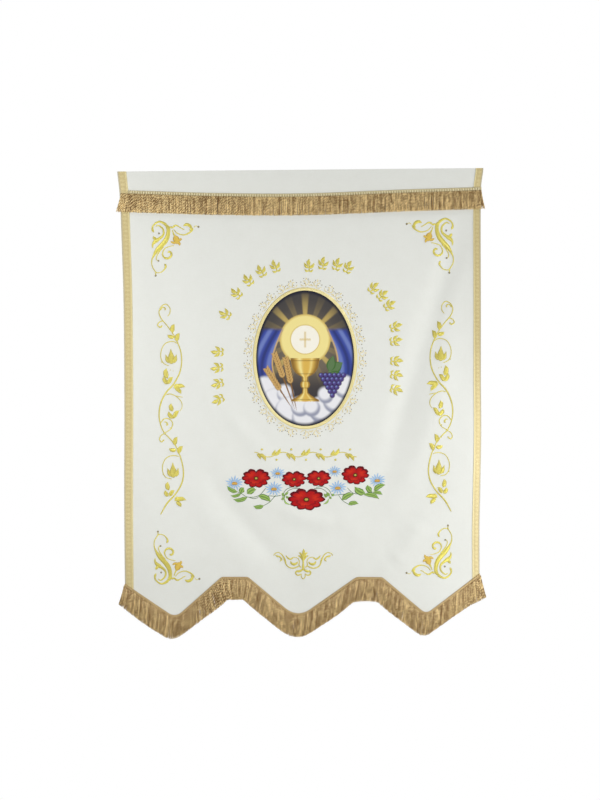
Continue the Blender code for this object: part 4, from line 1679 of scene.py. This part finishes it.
@dataclass
class FootOrnament:
    """Gold scroll with a fleuron, in the middle above the lower fringe."""

    shape: HangingCloth
    palette: Palette
    placing: Placing = Placing(0.0055, -0.8477)
    middle: tuple[Stroke, ...] = (
        Stroke(((1, 41), (1, 34), (0.5, 26), (0, 19), (0, 11), (0, 2), (0, -5)),
               (1.6, 6.4, 7.0, 4.4, 3.8, 5.4, 6.4)),
    )
    halves: tuple[Stroke, ...] = (
        Stroke(((1, 20), (5, 30), (9.5, 33)), (2.6, 4.6, 1.8)),
        Stroke(((1, 16), (7, 25), (12, 26)), (2.4, 3.8, 1.6)),
        Stroke(((1, -3), (8, -7), (14, -7), (16, -11), (13, -15), (8, -15), (4, -12)),
               (4.6, 5.4, 4.0, 3.4, 3.0, 2.8, 1.8)),
        Stroke(((4, -12), (4, -19), (0, -24)), (1.6, 2.0, 2.2)),
        Stroke(((4, 1), (9, 6), (8, 14), (12, 21), (20, 23), (27, 20)), (2.8, 2.6, 2.0, 1.9, 1.8, 1.8)),
        Stroke(((12, 14), (14, 10), (20, 8), (25, 10), (27, 15)), (2.0, 4.6, 6.2, 4.8, 2.0)),
        Stroke(((21, 21), (28, 19), (33, 22), (37, 27)), (1.8, 3.8, 3.6, 1.8)),
        Stroke(((9, 4), (19, 0), (29, 1), (36, 7), (39, 17), (44, 27), (52, 33), (60, 31), (63, 26)),
               (2.8, 3.0, 2.8, 2.8, 4.0, 2.6, 2.0, 2.0, 1.7)),
        Stroke(((59, 28), (55, 25), (50, 24), (46, 18), (50, 14)), (2.2, 4.2, 3.2, 4.0, 2.0)),
    )

    def build(self) -> bpy.types.Object:
        """Build the ornament from its middle and two mirrored halves.

        Returns:
            The ornament.
        """
        needle = Needle(self.shape)
        for stroke in self.middle:
            needle.stroke(stroke, self.placing, tone=0.6, lift=0.15 * MM)
        for mirror in (False, True):
            placing = Placing(self.placing.x, self.placing.z, mirror=mirror)
            for stroke in self.halves:
                needle.stroke(stroke, placing, tone=0.55)
        return needle.draft.piece("foot_ornament", self.palette.gold, "braid")


@dataclass
class FlowerGarland:
    """Poppies and daisies in coloured floss, with their leaves and stems."""

    shape: HangingCloth
    palette: Palette
    placing: Placing = Placing(0.0133, -0.6816)
    poppies: tuple[tuple[float, float, float, float], ...] = (
        (-108, 25, 30, 20), (-27, 23, 26, 17), (25, 25, 26, 17), (103, 32, 29, 20), (-1, -20, 39, 23),
    )
    daisies: tuple[tuple[float, float, float], ...] = (
        (-154, 15, 18), (-62, 36, 15), (-70, 3, 18), (59, 40, 14), (66, 5, 18), (150, 21, 17),
    )
    daisy_petals: int = 14
    petals: Stations = (
        (0.06, 1.02), (0.64, 1.05), (1.17, 1.06), (1.99, 1.07), (2.53, 1.05), (3.12, 1.02), (3.74, 0.98),
        (4.36, 1.00), (4.98, 1.02), (5.58, 0.99),
    )
    leaves: tuple[tuple[Pair, Pair, float], ...] = (
        ((-148, -4), (-170, 9), 7.5), ((-140, -7), (-163, -12), 5.5), ((-140, -7), (-134, 5), 10.0),
        ((-127, -8), (-108, 1), 11.5), ((-127, -15), (-157, -20), 7.5), ((-103, -13), (-77, -25), 10.0),
        ((-92, -33), (-114, -34), 7.5), ((124, -7), (102, 7), 12.0), ((138, -4), (129, 11), 10.0),
        ((143, -1), (167, 11), 9.0), ((141, -5), (161, -10), 6.5), ((122, -10), (154, -19), 8.0),
        ((75, -21), (100, -9), 10.0), ((88, -31), (110, -29), 7.5),
        ((-48, -14), (-51, -5), 4.9), ((-46, -11), (-39, -5), 4.3), ((-48, -15), (-55, -20), 4.9),
        ((-45, -14), (-39, -18), 4.0), ((44, -14), (37, -7), 4.9), ((49, -12), (43, -4), 5.4),
        ((53, -13), (59, -9), 4.3), ((47, -15), (52, -19), 4.3), ((38, -15), (44, -14), 3.8),
    )
    stems: tuple[Stations, ...] = (
        ((-148, -4), (-140, -7), (-125, -15), (-103, -12), (-87, 4)),
        ((-125, -15), (-113, -18), (-103, -16)),
        ((-92, -33), (-80, -26), (-66, -11)),
        ((-83, -12), (-66, -13), (-55, -11)),
        ((-52, -12), (-45, 0), (-33, 6), (-20, 6)),
        ((-48, -18), (-45, -7), (-33, 2), (-14, 4)),
        ((86, 5), (100, -7), (123, -8), (142, -4)),
        ((67, -10), (76, -22), (88, -30)),
        ((55, -11), (67, -10), (99, -7)),
        ((19, 6), (35, 7), (47, 0), (53, -11)),
        ((15, 3), (31, 3), (43, -5), (48, -14)),
    )
    hooks: tuple[Stations, ...] = (((-48, -18), (-45, -27), (-35, -31)), ((47, -18), (43, -26), (35, -30)))

    def build(self) -> bpy.types.Object:
        """Build the whole garland in one piece of coloured stitching.

        Returns:
            The garland.
        """
        needle = Needle(self.shape, step=1.2 * MM)
        for line in self.stems:
            stem = Stroke(line, (1.2,) * len(line))
            needle.stroke(stem, self.placing, tints=(Hue.STEM, Hue.LEAF_DEEP))
        for line in self.hooks:
            needle.stroke(Stroke(line, (1.5, 4.0, 1.5)), self.placing, tints=(Hue.LEAF, Hue.LEAF_DEEP))
        for foot, tip, width in self.leaves:
            needle.leaf(foot, tip, width * 1.4, self.placing, tints=(Hue.LEAF, Hue.LEAF_DEEP), vein=0.8)
        for x, z, size in self.daisies:
            self.daisy(needle, x, z, size)
        for number, poppy in enumerate(self.poppies):
            self.poppy(needle, *poppy, 0.3 * number)
        return needle.draft.piece("flower_garland", self.palette.floss, "braid")

    def daisy(self, needle: Needle, x: float, z: float, size: float) -> None:
        """Lay one daisy.

        Args:
            needle: What it is sewn with.
            x: Its middle across, in millimetres.
            z: Its middle up, in millimetres.
            size: Its half width, in millimetres.
        """
        for petal in range(self.daisy_petals):
            angle = math.tau * (petal + 0.3) / self.daisy_petals
            reach = size * (1.06 + 0.12 * math.sin(petal * 2.4))
            foot = (x + math.cos(angle) * size * 0.2, z + math.sin(angle) * size * 0.15)
            tip = (x + math.cos(angle) * reach, z + math.sin(angle) * reach * 0.82)
            needle.leaf(foot, tip, size * 0.185, self.placing, bend=0.04, tints=(Hue.PETAL, Hue.PETAL_EDGE))
        reach, low = size * 0.34, z - size * 0.10
        heart = ((x - reach, low), (x, z - size * 0.05), (x + reach, low))
        needle.stroke(
            Stroke(heart, (size * 0.36,) * 3), self.placing, lift=0.5 * MM,
            tints=(Hue.DAISY_HEART, Hue.DAISY_HEART_DEEP),
        )

    def poppy(self, needle: Needle, x: float, z: float, half: float, rise: float, turn: float) -> None:
        """Lay one poppy of five overlapping petals round a knotted heart.

        Args:
            needle: What it is sewn with.
            x: Its middle across, in millimetres.
            z: Its middle up, in millimetres.
            half: Its half width, in millimetres.
            rise: Its half height, in millimetres.
            turn: How far its petals are turned.
        """
        centre = (self.placing.x + x * MM, self.placing.z + z * MM)
        hues = (Hue.POPPY, Hue.POPPY_LIGHT, Hue.POPPY_DEEP)
        needle.bloom(centre, (half * MM, rise * MM), 0.12 * math.sin(turn * 5.0), self.petals, hues)
        for width, lift, tints in (
            (0.52, 0.9, (Hue.POLLEN_DEEP, Hue.POPPY_DEEP)), (0.34, 1.2, (Hue.POLLEN, Hue.POLLEN_DEEP)),
        ):
            reach = half * width * 0.32
            spot = ((x - reach, z), (x, z), (x + reach, z))
            needle.stroke(Stroke(spot, (rise * width,) * 3), self.placing, lift=lift * MM, tints=tints)


@dataclass
class SprigArch:
    """Gold sprigs in an arch round the medallion."""

    shape: HangingCloth
    palette: Palette
    scale: float = 1.15
    centre: Pair = (0.0096, -0.401)
    places: Stations = (
        (-176, -489), (-177, -455), (-178, -421), (-177, -387), (-161, -307), (-137, -262), (-112, -234),
        (-84, -215), (-54, -205), (18, -204), (48, -199), (78, -201), (102, -207), (156, -251), (175, -267),
        (190, -288), (203, -334), (203, -364), (204, -407), (204, -437), (204, -468),
    )
    strokes: tuple[Stroke, ...] = (
        Stroke(((0, -11), (1, -3), (0, 6)), (1.8, 2.4, 2.2)),
        Stroke(((0, 0), (-1.5, 6), (0, 13)), (3.6, 7.0, 1.6)),
        Stroke(((0, -4), (5.5, -1), (9.5, 5.5)), (2.0, 5.6, 1.6)),
        Stroke(((0, -4), (-5.5, -1), (-9.5, 5.5)), (2.0, 5.6, 1.6)),
        Stroke(((0, -9), (4.5, -10), (8, -6)), (1.8, 3.6, 1.4)),
        Stroke(((0, -9), (-4.5, -10), (-8, -6)), (1.8, 3.6, 1.4)),
    )

    def build(self) -> bpy.types.Object:
        """Build the arch.

        Returns:
            The arch.
        """
        needle = Needle(self.shape)
        for x, z in self.places:
            across, up = x * MM - self.centre[0], z * MM - self.centre[1]
            turn = math.atan2(up, across) - math.pi / 2.0
            placing = Placing(x * MM, z * MM, turn=turn, scale=self.scale, bold=self.scale)
            for stroke in self.strokes:
                needle.stroke(stroke, placing, tone=0.6)
        return needle.draft.piece("sprig_arch", self.palette.gold, "braid")


@dataclass
class LeafRow:
    """Gold row of leaves and buds under the medallion."""

    shape: HangingCloth
    palette: Palette
    start: float = -0.099
    end: float = 0.120
    level: float = -0.606
    repeats: int = 7

    def build(self) -> bpy.types.Object:
        """Build the row: a wavy stem with a leaf in each bend and a bud at each turn.

        Returns:
            The row.
        """
        needle = Needle(self.shape)
        pitch = (self.end - self.start) / self.repeats / MM
        placing = Placing(self.start, self.level)
        shares = np.linspace(0.0, self.repeats, 43)
        stem = [(pitch * share, 5.0 * math.cos(math.pi * share)) for share in shares]
        needle.stroke(Stroke(tuple(stem), (2.0,) * len(stem)), placing, tone=0.6)
        for bend in range(self.repeats):
            side = 1.0 if bend % 2 else -1.0
            x, curl = (bend + 0.5) * pitch, -0.12 * side
            needle.leaf((x - 4.0, side * -2.0), (x + 9.0, side * 14.0), 8.6, placing, curl, tone=0.62)
            needle.leaf((x - 10.0, side * -1.5), (x - 2.0, side * 10.5), 6.8, placing, curl, tone=0.55)
            needle.dot((x + 1.0, side * -11.0), 5.2, placing, tone=0.5)
        return needle.draft.piece("leaf_row", self.palette.gold, "braid")


@dataclass
class Studio:
    """Floor, lights and camera."""

    palette: Palette
    camera_distance: float = 6.0
    view_middle: Pair = (-0.0013, -0.4898)
    view_height: float = 1.702
    sensor: float = 36.0
    floor_level: float = -1.8
    floor_radius: float = 3.0

    def build(self) -> None:
        """Build all of it."""
        self.build_camera()
        self.build_floor()
        self.build_world()
        self.build_lamp("right light", (1.1, -1.1, -0.7), 0.6, 10.7)
        self.build_lamp("left light", (-1.1, -1.1, -0.3), 0.6, 11.5)
        self.build_lamp("high light", (4.0, -1.1, 3.5), 1.6, 152.0)
        self.build_lamp("back light", (1.5, 3.0, 0.6), 2.0, 70.0)

    def build_camera(self) -> None:
        """Set the camera straight in front of the banner."""
        data = bpy.data.cameras.new("front camera")
        data.sensor_width = self.sensor
        data.lens = self.sensor * self.camera_distance / self.view_height
        data.clip_end = 50.0
        camera = bpy.data.objects.new("front camera", data)
        camera.location = (self.view_middle[0], -self.camera_distance, self.view_middle[1])
        camera.rotation_euler = (math.pi / 2.0, 0.0, 0.0)
        bpy.context.scene.collection.objects.link(camera)
        bpy.context.scene.camera = camera

    def build_floor(self) -> None:
        """Lay a round pale floor well below the banner."""
        angles = np.linspace(0.0, math.tau, 96, endpoint=False)
        level = np.full_like(angles, self.floor_level)
        rings = [
            np.stack((radius * np.cos(angles), radius * np.sin(angles), level), axis=-1)
            for radius in (self.floor_radius, 0.1)
        ]
        draft = MeshDraft()
        numbers = draft.add_points(np.stack(rings), np.zeros(3))
        draft.add_faces(numbers, wrap=True, flip=True)
        draft.caps.append(numbers[-1].tolist())
        mesh = bpy.data.meshes.new("studio_floor")
        mesh.from_pydata(np.vstack(draft.points).tolist(), [], np.vstack(draft.faces).tolist() + draft.caps)
        mesh.materials.append(self.palette.floor)
        floor = bpy.data.objects.new("studio_floor", mesh)
        bpy.context.scene.collection.objects.link(floor)

    def build_world(self) -> None:
        """Light the scene evenly in front of a plain white backdrop."""
        world = bpy.data.worlds.new("studio")
        world.use_nodes = True
        bpy.context.scene.world = world
        nodes, links = world.node_tree.nodes, world.node_tree.links
        backdrop = nodes["Background"]
        backdrop.inputs["Strength"].default_value = 1.0
        backdrop.inputs["Color"].default_value = (1.0, 1.0, 1.0, 1.0)
        soft = nodes.new("ShaderNodeBackground")
        soft.inputs["Color"].default_value = (1.0, 1.0, 1.0, 1.0)
        soft.inputs["Strength"].default_value = 0.17
        rays = nodes.new("ShaderNodeLightPath")
        mix = nodes.new("ShaderNodeMixShader")
        links.new(rays.outputs["Is Camera Ray"], mix.inputs[0])
        links.new(soft.outputs[0], mix.inputs[1])
        links.new(backdrop.outputs[0], mix.inputs[2])
        links.new(mix.outputs[0], nodes["World Output"].inputs["Surface"])
        bpy.context.scene.view_settings.view_transform = "Standard"

    def build_lamp(self, name: str, place: tuple[float, float, float], size: float, power: float) -> None:
        """Hang a soft square lamp that looks at the banner's middle.

        Args:
            name: Its name.
            place: Where it hangs.
            size: Its side.
            power: Its power in watts.
        """
        data = bpy.data.lights.new(name, "AREA")
        data.size = size
        data.energy = power
        lamp = bpy.data.objects.new(name, data)
        lamp.location = place
        aim = np.array((0.0, 0.0, -0.45)) - np.array(place)
        flat = math.hypot(aim[0], aim[1])
        lamp.rotation_euler = (math.atan2(flat, -aim[2]), 0.0, math.atan2(aim[1], aim[0]) - math.pi / 2.0)
        bpy.context.scene.collection.objects.link(lamp)


@dataclass
class ChurchBanner:
    """The whole banner."""

    shape: HangingCloth
    palette: Palette
    upper_heading: Stations = (
        (-0.382, -0.043), (-0.182, -0.049), (0.0, -0.050), (0.216, -0.042), (0.385, -0.0365),
    )
    upper_lean: Stations = (
        (-0.382, -0.0105), (-0.355, -0.002), (-0.33, 0.0), (0.35, 0.0), (0.37, 0.003), (0.385, 0.008),
    )
    lower_lean: Stations = (
        (-0.375, -0.0115), (-0.345, -0.004), (-0.265, -0.0055), (-0.215, 0.004), (-0.172, 0.011),
        (-0.109, -0.009), (-0.003, -0.0055), (0.126, -0.009), (0.175, -0.0085), (0.275, -0.0053),
        (0.355, 0.0), (0.3815, 0.012),
    )
    lower_reach: Stations = (
        (-0.375, 0.0450), (-0.362, 0.0490), (-0.350, 0.0530), (-0.330, 0.0544), (-0.270, 0.0510),
        (-0.160, 0.0490), (-0.030, 0.0490), (0.040, 0.0544), (0.090, 0.0570), (0.145, 0.0516),
        (0.190, 0.0540), (0.250, 0.0503), (0.3815, 0.0515),
    )
    galloon_widths: Pair = (18.5 * MM, 15.5 * MM)
    flat_size: Pair = (0.779, 0.956)
    flat_area: float = 0.693

    def build(self) -> None:
        shape, palette = self.shape, self.palette
        cloth = BannerCloth(shape, palette).build()
        sewn = [
            Galloon(shape, palette, on_right, width).build()
            for on_right, width in zip((False, True), self.galloon_widths)
        ]
        for fringe in self.fringes():
            sewn += [fringe.build_heading(), fringe.build_cords()]
        sewn += Medallion(shape, palette).build()
        sewn += LeafyRing(shape, palette).build()
        for name, placing in (
            ("upper_left", Placing(-0.3185, -0.1091, bold=1.2)),
            ("upper_right", Placing(0.3270, -0.1028, mirror=True, bold=1.2)),
            ("lower_left", Placing(-0.3136, -0.8826, flip=True, scale=0.97, bold=1.2)),
            ("lower_right", Placing(0.3236, -0.8696, mirror=True, flip=True, scale=0.97, bold=1.2)),
        ):
            sewn += CornerScroll(shape, palette, name, placing).build()
        for name, placing in (
            ("side_vine_left", Placing(-0.2794, -0.2870, bold=1.08)),
            ("side_vine_right", Placing(0.3021, -0.2806, mirror=True, bold=1.08)),
        ):
            sewn.append(SideVine(shape, palette, name, placing).build())
        sewn.append(FootOrnament(shape, palette).build())
        sewn.append(FlowerGarland(shape, palette).build())
        sewn.append(SprigArch(shape, palette).build())
        sewn.append(LeafRow(shape, palette).build())

    def fringes(self) -> list[Fringe]:
        """The upper and the lower fringe."""
        corners = self.shape.hem_corners
        return [
            Fringe(self.shape, self.palette, "upper_fringe", "fringe_top", SmoothLine(self.upper_heading),
                   (self.upper_heading[0][0], self.upper_heading[-1][0]), self.upper_lean, 540, 3,
                   self.palette.heading, heading_inset=(16.0 * MM, 0.0)),
            Fringe(self.shape, self.palette, "lower_fringe", "fringe_bottom", self.shape.hem,
                   (corners[0][0], corners[-1][0]), self.lower_lean, 760, 5,
                   self.palette.edging, reach=self.lower_reach, heading_height=6.0 * MM,
                   pillar_share=0.2, shade=0.38, gather=0.0),
        ]


def main() -> None:
    """Build the banner and the studio."""
    logging.basicConfig(level=logging.INFO, format="%(message)s")
    palette = Palette()
    ChurchBanner(HangingCloth(), palette).build()
    Studio(palette).build()


if __name__ == "__main__":
    main()
